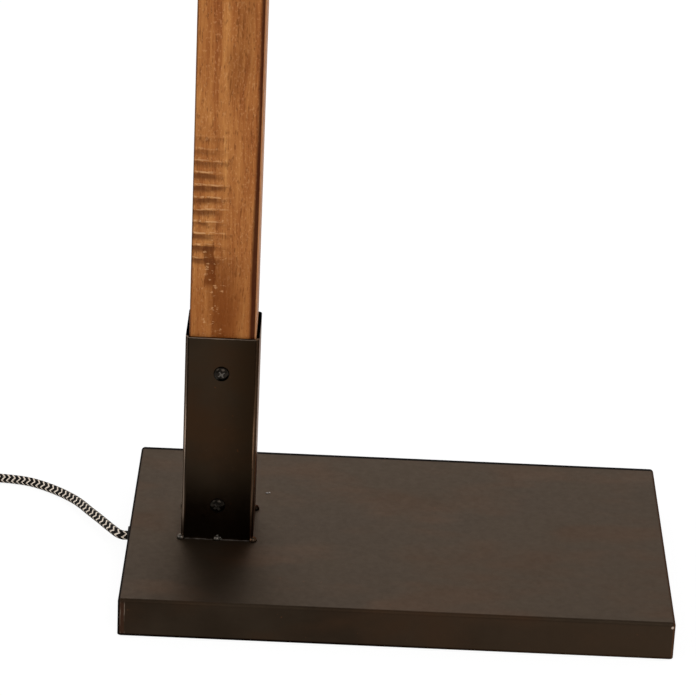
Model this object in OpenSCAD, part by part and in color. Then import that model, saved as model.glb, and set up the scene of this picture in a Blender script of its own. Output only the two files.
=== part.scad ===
// Floor lamp: a folded steel foot with a square socket, a timber post standing in it, and a
// timber boom that tilts in a steel fork on the post and carries a swivelling dome shade.
// The origin is on the floor under the middle of the foot, +X points to the lamp head,
// +Y to the back and +Z up. All lengths are in millimetres.

/* [Foot] */
// Width of the foot, along X
base_w = 400; // [360:1:480]
// Depth of the foot, along Y
base_d = 250; // [236:1:320]
// Height of the folded tray, from its rim to its top
tray_h = 29; // [28:0.5:36]
// Thickness of the tray's sheet
sheet_t = 2; // [1.5:0.1:2.5]
// Outside radius of the tray's bends
bend_r = 3; // [2.6:0.1:4]
// Height of the tray's rim above the floor
rim_lift = 1; // [0.6:0.1:1.6]
// Thickness of the felt pad
pad_t = 3; // [2.6:0.1:3.4]
// Gap between the pad's edge and the tray's wall
pad_inset = 3; // [2:0.5:6]
// Thickness of the plate that closes the tray
cover_t = 1.5; // [1:0.1:2]
// Gap between the closing plate and the tray's wall
cover_fit = 0.4; // [0.2:0.1:0.8]
// Distance of the cover's pillars from the foot's edges
pillar_inset = 14; // [11:0.5:15]
// Diameter of the cover's pillars
pillar_dia = 9; // [8:0.5:10]

/* [Ballast] */
// Width of the ballast plate
ballast_w = 250; // [180:1:256]
// Distance of the ballast's long edges from the foot's front and back
ballast_side = 25; // [22:1:50]
// Thickness of the ballast plate
ballast_t = 17; // [12:0.5:17]
// Distance from the ballast's right edge to the foot's right edge
ballast_gap = 15; // [9:1:20]
// Diameter of the ballast's studs
ballast_stud_dia = 8; // [6:0.5:9]
// Height of the ballast's nuts
ballast_nut_h = 5; // [4:0.5:5]

/* [Post] */
// Width of the timber post, along X
post_w = 48.5; // [40:0.5:56]
// Depth of the timber post, along Y
post_d = 46.5; // [42:0.5:54]
// Length of the timber post
post_l = 1390; // [1000:10:1600]
// Rounding of the timber's long edges
post_edge_r = 2; // [1:0.25:4]
// Distance from the foot's left edge to the post's axis
post_edge = 66; // [60:1:80]
// Diameter of the cable bore through the post
cable_bore = 9; // [8:0.25:12]
// Diameter of the wide mouth at the foot of the bore
mouth_dia = 20; // [18:0.5:24]
// Depth of that mouth
mouth_h = 22; // [18:1:30]

/* [Socket] */
// Height of the steel socket that holds the post
socket_h = 163; // [140:1:200]
// Thickness of the socket's sheet
socket_t = 2; // [1.5:0.1:3]
// Outside corner radius of the socket
socket_corner_r = 3; // [2:0.25:4]
// Radius of a weld tack
tack_r = 3; // [2:0.25:4]
// Distance of each screw from the socket's ends
screw_inset = 28; // [20:0.5:40]
// Diameter of the screw heads
screw_head_dia = 11.5; // [9:0.5:14]
// Height of the screw heads
screw_head_h = 3.4; // [2.5:0.1:4.5]
// Diameter of the screw shanks
screw_dia = 5; // [4:0.25:6]
// Length of the screws under the head
screw_l = 20; // [14:1:20]

/* [Fork] */
// Thickness of the fork's plate
fork_t = 3; // [2:0.25:4]
// Length of post that the fork grips
fork_grip = 100; // [80:1:140]
// Distance of the fork's screws from the ends of its grip
fork_screw_inset = 24; // [18:0.5:30]
// Height of the pivot over the top of the post
pivot_rise = 52; // [50:1:60]
// Radius of the rounded tops of the fork's cheeks
cheek_r = 23; // [20:0.5:26]
// Diameter of the pivot bolt
pivot_dia = 10; // [8:0.5:12]
// Diameter of the bolt's domed head
pivot_head_dia = 24; // [20:0.5:28]
// Height of the bolt's domed head
pivot_head_h = 6; // [5:0.25:8]
// Diameter of the friction washers
friction_dia = 38; // [30:0.5:42]
// Thickness of the friction washers
friction_t = 2.4; // [1.5:0.1:3]

/* [Knob] */
// Diameter of the clamping knob
knob_dia = 48; // [40:0.5:60]
// Thickness of the knob's rim
knob_t = 16; // [12:0.5:20]
// Diameter of the knob's hub
knob_hub_dia = 24; // [20:0.5:28]
// Length of the hub in front of the washer
knob_hub_l = 8; // [5:0.5:12]
// Number of finger scallops in the rim
knob_scallops = 7; // [5:1:9]
// Diameter of a finger scallop
scallop_dia = 16; // [12:0.5:16]
// Thickness of the steel washer behind the knob
knob_washer_t = 2; // [1.5:0.1:3]

/* [Boom] */
// Height of the timber boom
boom_h = 46; // [44:0.5:46]
// Length of the boom in front of the pivot
boom_front = 432; // [400:1:520]
// Length of the boom behind the pivot
boom_back = 190; // [120:1:260]
// Distance from the pivot to the shade's swivel
reach = 400; // [370:1:400]
// Depth of the cable bore under the boom's middle
bore_drop = 13; // [12.5:0.25:13.5]
// Outside diameter of the pivot bush
bush_dia = 14; // [13.5:0.25:15]

/* [Swivel] */
// Diameter of the swivel's flange
flange_dia = 40; // [38:0.5:40]
// Thickness of the swivel's flange
flange_t = 3; // [2:0.25:4]
// Distance from the boom's underside to the swivel's axis
swivel_drop = 34; // [32:0.5:45]
// Radius of the swivel's two discs
disc_r = 12; // [11:0.25:14]
// Thickness of each disc
disc_t = 9; // [7:0.25:11]
// Diameter of the swivel's necks
neck_dia = 16; // [14:0.25:18]
// Diameter of the swivel screw
swivel_dia = 6; // [5:0.25:7]
// Diameter of the swivel screw's knurled head
thumb_dia = 22; // [18:0.5:26]
// Length of the swivel screw's knurled head
thumb_l = 11; // [8:0.5:14]

/* [Lampholder] */
// Distance from the swivel's axis to the lampholder's cap
neck_l = 22; // [20:0.5:30]
// Height of the lampholder's cap
cap_h = 16; // [13:0.5:20]
// Height of the lampholder's shell
shell_h = 34; // [32:0.5:45]
// Outside diameter of the shell
shell_dia = 40; // [39:0.25:44]
// Wall of the cap and the shell
shell_wall = 1.4; // [1:0.1:1.6]
// Diameter of the insulator's threaded skirt
skirt_dia = 35; // [34:0.25:36]
// Length of the skirt below the shade
skirt_l = 25; // [20:0.5:30]
// Outside diameter of the ring that clamps the shade
ring_dia = 50; // [44:0.5:56]
// Height of that ring
ring_h = 8; // [6:0.5:10]
// Inside diameter of the brass screw shell
screw_shell_dia = 26.8; // [26.6:0.1:27.4]
// Wall of the brass screw shell
screw_shell_wall = 0.8; // [0.5:0.1:1]
// Diameter of the switch key's stem
key_dia = 5; // [4:0.25:6]
// Length of the stem outside the shell
key_l = 12; // [8:0.5:20]
// Width of the key's paddle
paddle_w = 20; // [14:0.5:24]
// Height of the key's paddle
paddle_h = 10; // [8:0.5:13]
// Thickness of the key's paddle
paddle_t = 4.5; // [3:0.25:6]

/* [Shade] */
// Diameter of the shade's rim
shade_dia = 280; // [220:1:340]
// Height of the shade
shade_h = 150; // [142:1:180]
// Diameter of the flat at the top of the shade
shade_top_dia = 54; // [52:0.5:70]
// Thickness of the shade's sheet
shade_t = 1; // [0.8:0.1:2]
// Radius of the rolled edge
roll_r = 2.5; // [2:0.25:4]

/* [Bulb] */
// Largest diameter of the glass
bulb_dia = 60; // [50:0.5:66]
// Length from the lower edge of the skirt to the glass tip
bulb_reach = 83; // [75:0.5:90]
// Wall of the glass
glass_t = 0.9; // [0.7:0.1:1.2]
// Diameter of the screw cap
bulb_cap_dia = 26; // [25.6:0.1:26.2]
// Length of the screw cap
bulb_cap_l = 24; // [22:0.5:25]

/* [Cord] */
// Diameter of the textile cord
cord_d = 7; // [6:0.25:7]
// Height of the cord's hole over the floor
cord_z = 12; // [11.5:0.25:12.5]
// Place of the cord's hole along the left wall
cord_y = 8; // [6:0.5:10]
// Diameter of the hole in the wall
grommet_hole = 10.5; // [10:0.25:11]
// Diameter of the grommet's flanges
grommet_dia = 14; // [13:0.25:14.5]
// Thickness of each flange
flange_lip = 2; // [1.5:0.1:2.5]
// Turns in each layer of the put-away coil
layer_turns = 3.25; // [1.25:1:3.25]
// Outer radius of the coil, at the cord's middle
coil_r = 54; // [50:0.5:60]
// Step from turn to turn
coil_step = 8.6; // [8.6:0.1:9]
// Step from layer to layer
layer_step = 7.6; // [7.6:0.1:8]
// Width of the tie
tie_w = 10; // [6:0.5:14]
// Thickness of the tie
tie_t = 0.8; // [0.5:0.1:0.9]
// Length of the plug's strain relief
relief_l = 30; // [20:1:45]
// Length of the plug's body
plug_l = 34; // [28:1:40]
// Width of the plug's body
plug_w = 30; // [26:0.5:34]
// Length of the plug's blades
blade_l = 17; // [14:0.5:20]

/* [Clearances] */
// Side gap between the post and the sheet round it
post_fit = 0.5; // [0.3:0.1:1]
// Running gap round pins, and between pieces that turn on each other
run_gap = 0.05; // [0.02:0.01:0.1]
// Gap between faces that slide past each other
slide_gap = 0.15; // [0.1:0.05:0.3]
// Gap round screws, studs and seated rings
seat_gap = 0.1; // [0.05:0.05:0.2]
// Gap between the coil and its tie
tie_gap = 0.8; // [0.6:0.1:1.2]

/* [Hidden] */
$fn = 48;
cut = 1;
steel_brown = [0.25, 0.21, 0.17];
timber_brown = [0.63, 0.40, 0.24];
cord_grey = [0.35, 0.33, 0.29];
black = [0.08, 0.08, 0.08];
brass = [0.75, 0.60, 0.30];
bare_steel = [0.62, 0.62, 0.62];
ivory = [0.92, 0.90, 0.84];

// Levels in the foot
cover_top = pad_t + cover_t;
tray_top = rim_lift + tray_h;
tray_ceiling = tray_top - sheet_t;
inner_w = base_w - 2 * sheet_t;
inner_d = base_d - 2 * sheet_t;
pillar_x = base_w / 2 - pillar_inset;
pillar_y = base_d / 2 - pillar_inset;
nut_ratio = 1.65;
cover_screw_dia = 4;
cover_screw_head = 8;
cover_screw_h = 2;
cover_screw_l = 12;
pad_clear = 1;
least_bend_r = 0.5;
inner_bend_r = max(bend_r - sheet_t, least_bend_r);
ballast_d = base_d - 2 * ballast_side;
ballast_x = base_w / 2 - ballast_gap - ballast_w / 2;
ballast_stud_x = ballast_w / 4;
ballast_floor = tray_ceiling - ballast_t;

// Post, socket and fork
post_x = post_edge - base_w / 2;
post_top = tray_top + post_l;
socket_w = post_w + 2 * (post_fit + socket_t);
socket_d = post_d + 2 * (post_fit + socket_t);
socket_screws_z = [tray_top + screw_inset, tray_top + socket_h - screw_inset];
fork_w = post_w + 2 * (post_fit + fork_t);
fork_gap = post_d + 2 * post_fit;
fork_d = fork_gap + 2 * fork_t;
fork_floor = post_top - fork_grip;
fork_screws_z = [fork_floor + fork_screw_inset, post_top - fork_screw_inset];
pivot_z = post_top + pivot_rise;
recess_w = 1.6;
recess_l = 5.8;
recess_h = 1.7;
knob_crown = 3.2;
scallop_set = 4;

// Boom and swivel
boom_t = fork_gap - 2 * (friction_t + slide_gap);
boom_under = pivot_z - boom_h / 2;
bore_z = pivot_z - bore_drop;
slot_back = 18;
slot_front = 34;
swivel_x = post_x + reach;
swivel_z = boom_under - swivel_drop;
pocket_dia = 22;
pocket_back = 5;
flange_screw_dia = 4;
flange_screw_l = 16;
flange_screw_edge = 4.5;
flange_screw_r = flange_dia / 2 - flange_screw_edge;
flange_screw_turns = [0, 90, 270];
wire_hole_l = 6;
wire_tail = 4;
blind_wall = 2;
screw_tip_gap = 1;
thumb_neck_dia = 15;
thumb_neck_l = 2.8;
thumb_crown_dia = 18;
thumb_crown = 1.8;
pocket_h = boom_h / 2 - bore_drop + cable_bore / 2 + slide_gap;

// Lamp head, measured down from the swivel's axis
spigot_dia = 10;
spigot_l = 8;
contact_h = 2.5;
contact_dia = 9;
contact_clear = 2;
key_pocket = 4;
key_clear = 1;
paddle_flat = 1;
shell_recess = 2;
key_boss = 3;
neck_ledge = 1;
cap_upright = 4;
ring_grips = 12;
ring_grip_dia = 5;
ring_grip_set = 1;
cap_top = -neck_l;
shell_top = cap_top - cap_h;
shade_top = shell_top - shell_h;
ring_top = shade_top - shade_t;
skirt_end = shade_top - skirt_l;
shade_rim = shade_top - shade_h;
key_z = shell_top - shell_h / 2;
bulb_top = skirt_end + bulb_cap_l - shell_recess;
bulb_tip = skirt_end - bulb_reach;

// Bulb: its cap, the glass neck cemented in it, and the filaments on their stem
bulb_cap_wall = 1;
bulb_cap_cone = 4;
bulb_cap_tip = 1;
neck_grip = 8;
glass_join = 50;
glass_sweep = 0.4;
glass_neck_r = bulb_cap_dia / 2 - bulb_cap_wall - seat_gap;
glass_neck_top = bulb_top - bulb_cap_l + neck_grip;
stem_foot_h = 3;
stem_dia = 3;
stem_drop = 26;
stem_gap = 2;
led_l = 34;
led_dia = 1.8;
led_r = 8.5;
led_arm_dia = 1.2;
led_arm_l = 9;

// Cord: the stretch from the foot to the coil, chosen by hand
lead_points = [
    [-base_w / 2 - flange_lip, cord_y, cord_z], [-206, 8.2, 12], [-209.5, 10.6, 12], [-213, 15, 12],
    [-219, 24.5, 11.5], [-226, 36.5, 10.5], [-234.5, 51, 9], [-243.5, 67.5, 7], [-252.5, 80.5, 5.2],
    [-262, 91, 4], [-274, 100, 3.6], [-286, 106, 3.6], [-298, 108.8, 3.6], [-310, 110.2, 3.6],
    [-322, 110.9, 3.6], [-334, 111.3, 3.6], [-346, 111.5, 3.7], [-358, 111.5, 4.1], [-369, 111.5, 4.5]
];
lead_end = lead_points[len(lead_points) - 1];
coil_lift = lead_end[2] - cord_d / 2;
coil_centre = [lead_end[0] - cord_d, lead_end[1] - coil_r, lead_end[2]];
coil_inner_r = coil_r - layer_turns * coil_step;
climb_turns = 0.5;
coil_turns = 2 * layer_turns + climb_turns;
rings_per_turn = 24;
coil_sides = 6;
tube_sides = 10;
tie_corner_r = 3;
plug_tail = 24;
plug_start = coil_centre + [-plug_tail, coil_r, layer_step];
plug_h = 2 * plug_start[2];
plug_face = plug_start[0] - relief_l - plug_l;
relief_wall = 1.5;
relief_end_wall = 4.5;
plug_corner_r = 7;
plug_back_h = 6;
plug_back_w = 8;
plug_back_l = 2;
plug_shoulder = 11;
blade_gap = 12.7;
blade_w = 6.3;
blade_t = 1.5;
blade_drop = 1;
earth_dia = 4.8;
earth_drop = 7;
earth_extra = 2;

// Cable inside the foot and the post: in through the wall, up in a quarter bend, then straight
riser_r = 26;
clamp_inset = 22;
clamp_x = clamp_inset - base_w / 2;
clamp_l = 12;
clamp_w = 34;
clamp_stud_dia = 4;
clamp_stud_y = 11;
clamp_nut_h = 3.2;
saddle_wall = 2;
riser_steps = 8;
riser_top = cord_z + riser_r;
riser_centre = [post_x - riser_r, riser_top];
riser = [
    for (i = [1:riser_steps]) let (a = 90 * i / riser_steps, ease = (1 + cos(2 * a)) / 2)
        [riser_centre[0] + riser_r * sin(a), cord_y * ease, riser_centre[1] - riser_r * cos(a)]
];
straight_steps = 6;
straight = [
    for (i = [1:straight_steps]) [post_x, 0, riser_top + (post_top - riser_top) * i / straight_steps]
];
inlet = [
    [-base_w / 2 - flange_lip, cord_y, cord_z], [clamp_x, cord_y, cord_z],
    [post_x - riser_r, cord_y, cord_z]
];
post_route = concat(inlet, riser, straight);

// Cable across the pivot and along the boom, bent over at the swivel
cross_r = 26;
cross_steps = 6;
cross_run = 14;
cross_end = post_x + cross_r + cross_run;
cross_route = concat(
    [[post_x, 0, post_top], [post_x, 0, bore_z - cross_r]],
    [
        for (i = [1:cross_steps]) let (a = 90 * i / cross_steps)
            [post_x + cross_r * (1 - cos(a)), 0, bore_z - cross_r * (1 - sin(a))]
    ],
    [[cross_end, 0, bore_z]]
);
drop_r = 14;
drop_steps = 5;
boom_route = concat(
    [[cross_end, 0, bore_z], [(cross_end + swivel_x) / 2, 0, bore_z], [swivel_x - drop_r, 0, bore_z]],
    [
        for (i = [1:drop_steps]) let (a = 90 * i / drop_steps)
            [swivel_x - drop_r * (1 - sin(a)), 0, bore_z - drop_r * (1 - cos(a))]
    ],
    [[swivel_x, 0, boom_under - flange_t - wire_tail]]
);

// Routes and swept tubes

function unit(v) = v / norm(v);

function heading(p, i) = unit(p[min(i + 1, len(p) - 1)] - p[max(i - 1, 0)]);

function square_to(v, t) = unit(v - t * (v * t));

// One side direction for each point of a route, carried along without twist
function sides_along(p, first) = [
    for (i = 0, s = square_to(first, heading(p, 0)); i < len(p);
         i = i + 1, s = i < len(p) ? square_to(s, heading(p, i)) : s) s
];

module tube(p, d, sides) {
    across = sides_along(p, [0, 1, 0]);
    ring = [
        for (i = [0:len(p) - 1]) let (u = across[i], v = cross(heading(p, i), u))
            for (k = [0:sides - 1]) p[i] + d / 2 * (cos(360 * k / sides) * u + sin(360 * k / sides) * v)
    ];
    last = (len(p) - 1) * sides;
    wall = [
        for (i = [0:len(p) - 2]) for (k = [0:sides - 1]) let (
            a = i * sides + k, b = i * sides + (k + 1) % sides, c = b + sides, e = a + sides)
            for (f = [[a, e, c], [a, c, b]]) f
    ];
    ends = [for (k = [1:sides - 2]) for (f = [[0, k, k + 1], [last, last + k + 1, last + k]]) f];
    polyhedron(ring, concat(wall, ends), convexity = 10);
}

// One point of the coil after t turns: in on the floor, a half turn's climb, out on top
function coil_radius(t) =
    t < layer_turns ? coil_r - coil_step * t
    : t < layer_turns + climb_turns ? coil_inner_r
    : coil_inner_r + coil_step * (t - layer_turns - climb_turns);

function coil_climb(t) = layer_step * min(max((t - layer_turns) / climb_turns, 0), 1);

function coil_point(t) =
    coil_centre + [coil_radius(t) * cos(90 + 360 * t), coil_radius(t) * sin(90 + 360 * t), coil_climb(t)];

coil_route = concat(
    [lead_end],
    [for (i = [0:coil_turns * rings_per_turn]) coil_point(i / rings_per_turn)],
    [plug_start]
);

function route_length(p, i = 1) = i < len(p) ? norm(p[i] - p[i - 1]) + route_length(p, i + 1) : 0;

function least_gap(p, d) = min([
    for (i = [0:len(p) - 1]) for (j = [i + rings_per_turn / 2:1:len(p) - 1]) norm(p[i] - p[j])
]) - d;

// Shared shapes

module rounded_rect(w, d, r) {
    square([w - 2 * r, d], center = true);
    square([w, d - 2 * r], center = true);
    for (x = [-1, 1], y = [-1, 1])
        translate([x * (w / 2 - r), y * (d / 2 - r)])
            circle(r);
}

module along_x(l) {
    rotate([90, 0, 90])
        linear_extrude(l)
            children();
}

module pin_y(d, y0, y1) {
    translate([0, y1, 0])
        rotate([90, 0, 0])
            cylinder(d = d, h = y1 - y0);
}

// A box with rounded upright corners and top edges, open below when it is cut from another
module pressed_block(w, d, z0, z1, r) {
    hull()
        for (x = [-1, 1], y = [-1, 1])
            translate([x * (w / 2 - r), y * (d / 2 - r), 0]) {
                translate([0, 0, z1 - r]) {
                    sphere(r, $fn = 32);
                    cylinder(r = r / 8, h = r, $fn = 32);
                }
                translate([0, 0, z0])
                    cylinder(r = r, h = cut, $fn = 32);
            }
}

// A low dome standing on z = 0
module dome(d, h) {
    ball_r = (d * d / 4 + h * h) / (2 * h);
    intersection() {
        translate([0, 0, h - ball_r])
            sphere(ball_r);
        cylinder(d = d, h = h + cut);
    }
}

// Domed screws that enter the timber from the front, at the given heights
module timber_screws(front, heights) {
    for (z = heights)
        translate([post_x, front, z])
            rotate([90, 0, 0])
                difference() {
                    union() {
                        dome(screw_head_dia, screw_head_h);
                        translate([0, 0, -screw_l])
                            cylinder(d = screw_dia, h = screw_l);
                    }
                    for (turn = [45, 135])
                        rotate(turn)
                            translate([-recess_l / 2, -recess_w / 2, screw_head_h - recess_h])
                                cube([recess_l, recess_w, recess_h + cut]);
                }
}

module screw_holes(y0, y1, heights, d) {
    for (z = heights)
        translate([post_x, 0, z])
            pin_y(d, y0, y1);
}

module at_pivot() {
    translate([post_x, 0, pivot_z])
        children();
}

module at_swivel() {
    translate([swivel_x, 0, swivel_z])
        children();
}

module at_pillars(z) {
    for (x = [-1, 1], y = [-1, 1])
        translate([x * pillar_x, y * pillar_y, z])
            children();
}

module at_ballast_studs(z) {
    for (side = [-1, 1])
        translate([ballast_x + side * ballast_stud_x, 0, z])
            children();
}

module at_clamp_studs(z) {
    for (side = [-1, 1])
        translate([clamp_x, cord_y + side * clamp_stud_y, z])
            children();
}

module hex_nut(across, bore, h) {
    difference() {
        cylinder(d = across / cos(30), h = h, $fn = 6);
        translate([0, 0, -cut])
            cylinder(d = bore, h = h + 2 * cut);
    }
}

// Foot

module base_tray() {
    color(steel_brown)
        difference() {
            pressed_block(base_w, base_d, rim_lift, tray_top, bend_r);
            pressed_block(inner_w, inner_d, rim_lift - 2 * cut, tray_ceiling, inner_bend_r);
            translate([post_x, 0, tray_ceiling - cut])
                cylinder(d = mouth_dia, h = sheet_t + 2 * cut);
            translate([-base_w / 2 - cut, cord_y, cord_z])
                rotate([0, 90, 0])
                    cylinder(d = grommet_hole, h = sheet_t + 2 * cut);
        }
}

module cover_pillars() {
    color(bare_steel)
        at_pillars(cover_top)
            difference() {
                cylinder(d = pillar_dia, h = tray_ceiling - cover_top);
                translate([0, 0, -cut])
                    cylinder(d = cover_screw_dia + 2 * seat_gap, h = cover_screw_l + cut);
            }
}

module base_cover() {
    color(bare_steel)
        difference() {
            translate([0, 0, pad_t])
                linear_extrude(cover_t)
                    rounded_rect(inner_w - 2 * cover_fit, inner_d - 2 * cover_fit, bend_r);
            at_pillars(pad_t - cut)
                cylinder(d = cover_screw_dia + 2 * seat_gap, h = cover_t + 2 * cut);
        }
}

module cover_screws() {
    color(bare_steel)
        at_pillars(pad_t - cover_screw_h) {
            cylinder(d = cover_screw_head, h = cover_screw_h);
            cylinder(d = cover_screw_dia, h = cover_screw_h + cover_screw_l);
        }
}

module floor_pad() {
    color([0.16, 0.15, 0.14])
        difference() {
            linear_extrude(pad_t)
                rounded_rect(inner_w - 2 * pad_inset, inner_d - 2 * pad_inset, bend_r);
            at_pillars(-cut)
                cylinder(d = cover_screw_head + 2 * pad_clear, h = pad_t + 2 * cut);
        }
}

module ballast_plate() {
    color([0.30, 0.30, 0.31])
        difference() {
            translate([ballast_x - ballast_w / 2, -ballast_d / 2, ballast_floor])
                cube([ballast_w, ballast_d, ballast_t]);
            at_ballast_studs(ballast_floor - cut)
                cylinder(d = ballast_stud_dia + 2 * seat_gap, h = ballast_t + 2 * cut);
        }
}

module ballast_studs() {
    color(bare_steel)
        at_ballast_studs(ballast_floor - ballast_nut_h)
            cylinder(d = ballast_stud_dia, h = ballast_t + ballast_nut_h);
}

module ballast_nuts() {
    color(bare_steel)
        at_ballast_studs(ballast_floor - ballast_nut_h)
            hex_nut(ballast_stud_dia * nut_ratio, ballast_stud_dia + 2 * seat_gap, ballast_nut_h);
}

// Socket and post

module post_socket() {
    tacks = [
        [-socket_w / 2, -socket_d / 2], [socket_w / 2, -socket_d / 2], [0, -socket_d / 2],
        [-socket_w / 2, socket_d / 2], [socket_w / 2, socket_d / 2]
    ];
    color(steel_brown)
        difference() {
            translate([post_x, 0, tray_top]) {
                linear_extrude(socket_h)
                    rounded_rect(socket_w, socket_d, socket_corner_r);
                for (place = tacks)
                    translate(place)
                        dome(2 * tack_r, tack_r);
            }
            translate([post_x, 0, tray_top - cut])
                linear_extrude(socket_h + 2 * cut)
                    square([post_w + 2 * post_fit, post_d + 2 * post_fit], center = true);
            screw_holes(-socket_d, 0, socket_screws_z, screw_dia + 2 * seat_gap);
        }
}

module socket_screws() {
    color(black)
        timber_screws(-socket_d / 2, socket_screws_z);
}

module post() {
    color(timber_brown)
        difference() {
            translate([post_x, 0, tray_top])
                linear_extrude(post_l)
                    rounded_rect(post_w, post_d, post_edge_r);
            translate([post_x, 0, tray_top - cut]) {
                cylinder(d = cable_bore, h = post_l + 2 * cut);
                cylinder(d = mouth_dia, h = mouth_h + cut);
            }
            screw_holes(-socket_d, screw_l - socket_d / 2, socket_screws_z, screw_dia + 2 * seat_gap);
            screw_holes(-fork_d, screw_l - fork_d / 2, fork_screws_z, screw_dia + 2 * seat_gap);
        }
}

// Cord inlet and the cable inside

module cord_grommet() {
    color(black)
        translate([-base_w / 2 - flange_lip, cord_y, cord_z])
            rotate([0, 90, 0])
                difference() {
                    union() {
                        cylinder(d = grommet_dia, h = flange_lip);
                        cylinder(d = grommet_hole - 2 * seat_gap, h = sheet_t + 2 * flange_lip);
                        translate([0, 0, flange_lip + sheet_t])
                            cylinder(d = grommet_dia, h = flange_lip);
                    }
                    translate([0, 0, -cut])
                        cylinder(d = cord_d + 2 * seat_gap, h = sheet_t + 2 * flange_lip + 2 * cut);
                }
}

module cord_clamp() {
    color(black)
        difference() {
            translate([clamp_x - clamp_l / 2, cord_y, cord_z]) {
                translate([0, -clamp_w / 2, 0])
                    cube([clamp_l, clamp_w, tray_ceiling - cord_z]);
                rotate([0, 90, 0])
                    cylinder(d = cord_d + 2 * saddle_wall, h = clamp_l);
            }
            translate([clamp_x - clamp_l, cord_y, cord_z])
                rotate([0, 90, 0])
                    cylinder(d = cord_d + 2 * seat_gap, h = 2 * clamp_l);
            at_clamp_studs(cord_z - cut)
                cylinder(d = clamp_stud_dia + 2 * seat_gap, h = tray_ceiling);
        }
}

module clamp_studs() {
    color(bare_steel)
        at_clamp_studs(cord_z - clamp_nut_h)
            cylinder(d = clamp_stud_dia, h = tray_ceiling - cord_z + clamp_nut_h);
}

module clamp_nuts() {
    color(bare_steel)
        at_clamp_studs(cord_z - clamp_nut_h)
            hex_nut(clamp_stud_dia * nut_ratio, clamp_stud_dia + 2 * seat_gap, clamp_nut_h);
}

module post_cable() {
    color(cord_grey)
        tube(post_route, cord_d, tube_sides);
}

// Fork and pivot

module head_fork() {
    color(steel_brown)
        difference() {
            union() {
                translate([post_x, 0, fork_floor])
                    linear_extrude(fork_grip)
                        rounded_rect(fork_w, fork_d, socket_corner_r);
                for (side = [-1, 1])
                    translate([0, side * (fork_gap + fork_t) / 2, 0]) {
                        translate([post_x - cheek_r, -fork_t / 2, post_top - cut])
                            cube([2 * cheek_r, fork_t, pivot_rise + cut]);
                        at_pivot()
                            pin_y(2 * cheek_r, -fork_t / 2, fork_t / 2);
                    }
            }
            translate([post_x, 0, fork_floor - cut])
                linear_extrude(fork_grip + 2 * cut)
                    square([post_w + 2 * post_fit, fork_gap], center = true);
            at_pivot()
                pin_y(pivot_dia + 2 * run_gap, -fork_d, fork_d);
            screw_holes(-fork_d, 0, fork_screws_z, screw_dia + 2 * seat_gap);
        }
}

module fork_screws() {
    color(black)
        timber_screws(-fork_d / 2, fork_screws_z);
}

module pivot_bolt() {
    color(black)
        at_pivot() {
            pin_y(pivot_dia, -fork_d / 2 - knob_washer_t - knob_hub_l - knob_t / 2, fork_d / 2);
            translate([0, fork_d / 2, 0])
                rotate([-90, 0, 0])
                    dome(pivot_head_dia, pivot_head_h);
        }
}

module friction_washers() {
    color([0.45, 0.22, 0.14])
        at_pivot()
            for (side = [-1, 1])
                difference() {
                    translate([0, side * (fork_gap - friction_t) / 2, 0])
                        pin_y(friction_dia, -friction_t / 2, friction_t / 2);
                    pin_y(pivot_dia + 2 * run_gap, -fork_d, fork_d);
                }
}

module knob_washer() {
    color(bare_steel)
        at_pivot()
            difference() {
                pin_y(knob_hub_dia, -fork_d / 2 - knob_washer_t, -fork_d / 2);
                pin_y(pivot_dia + 2 * run_gap, -fork_d, 0);
            }
}

module clamp_knob() {
    back = -fork_d / 2 - knob_washer_t - slide_gap;
    rim_back = back - knob_hub_l;
    color(black)
        at_pivot()
            difference() {
                union() {
                    pin_y(knob_hub_dia, rim_back - cut, back);
                    pin_y(knob_dia, rim_back - knob_t, rim_back);
                    translate([0, rim_back - knob_t, 0])
                        rotate([90, 0, 0])
                            dome(knob_hub_dia, knob_crown);
                }
                for (i = [0:knob_scallops - 1])
                    rotate([0, 360 * i / knob_scallops, 0])
                        translate([knob_dia / 2 + scallop_set, 0, 0])
                            pin_y(scallop_dia, rim_back - knob_t - cut, rim_back + cut);
                pin_y(pivot_dia + 2 * run_gap, rim_back - knob_t / 2 - cut, back + cut);
            }
}

// Boom

module boom_beam() {
    color(timber_brown)
        difference() {
            translate([post_x - boom_back, 0, pivot_z])
                along_x(boom_back + boom_front)
                    rounded_rect(boom_t, boom_h, post_edge_r);
            at_pivot()
                pin_y(bush_dia + 2 * seat_gap, -boom_t, boom_t);
            translate([post_x + slot_front - cut, 0, bore_z])
                rotate([0, 90, 0])
                    cylinder(d = cable_bore, h = reach - slot_front - pocket_back);
            translate([post_x - slot_back, -cable_bore / 2, boom_under - cut])
                cube([slot_back + slot_front, cable_bore, boom_h / 2 - bore_drop + cable_bore / 2 + cut]);
            translate([swivel_x - pocket_back, 0, boom_under - cut])
                cylinder(d = pocket_dia, h = pocket_h + cut);
            at_flange_screws(boom_under - cut)
                cylinder(d = flange_screw_dia + 2 * seat_gap, h = flange_screw_l + cut);
        }
}

module pivot_bush() {
    color(brass)
        at_pivot()
            difference() {
                pin_y(bush_dia, -boom_t / 2, boom_t / 2);
                pin_y(pivot_dia + 2 * run_gap, -boom_t, boom_t);
            }
}

module pivot_cable() {
    color(cord_grey)
        tube(cross_route, cord_d, tube_sides);
}

module boom_cable() {
    color(cord_grey)
        tube(boom_route, cord_d, tube_sides);
}

// Swivel under the boom

module at_flange_screws(z) {
    for (turn = flange_screw_turns)
        translate([swivel_x, 0, z])
            rotate(turn)
                translate([flange_screw_r, 0, 0])
                    children();
}

// Half of the swivel: a neck that ends in a disc on one side of the middle plane
module swivel_half(length) {
    cylinder(d = neck_dia, h = length - disc_r - slide_gap);
    intersection() {
        cylinder(d = neck_dia, h = length);
        translate([-neck_dia, slide_gap, 0])
            cube([2 * neck_dia, disc_t - slide_gap, length]);
    }
    translate([0, 0, length])
        pin_y(2 * disc_r, slide_gap, disc_t);
}

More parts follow.
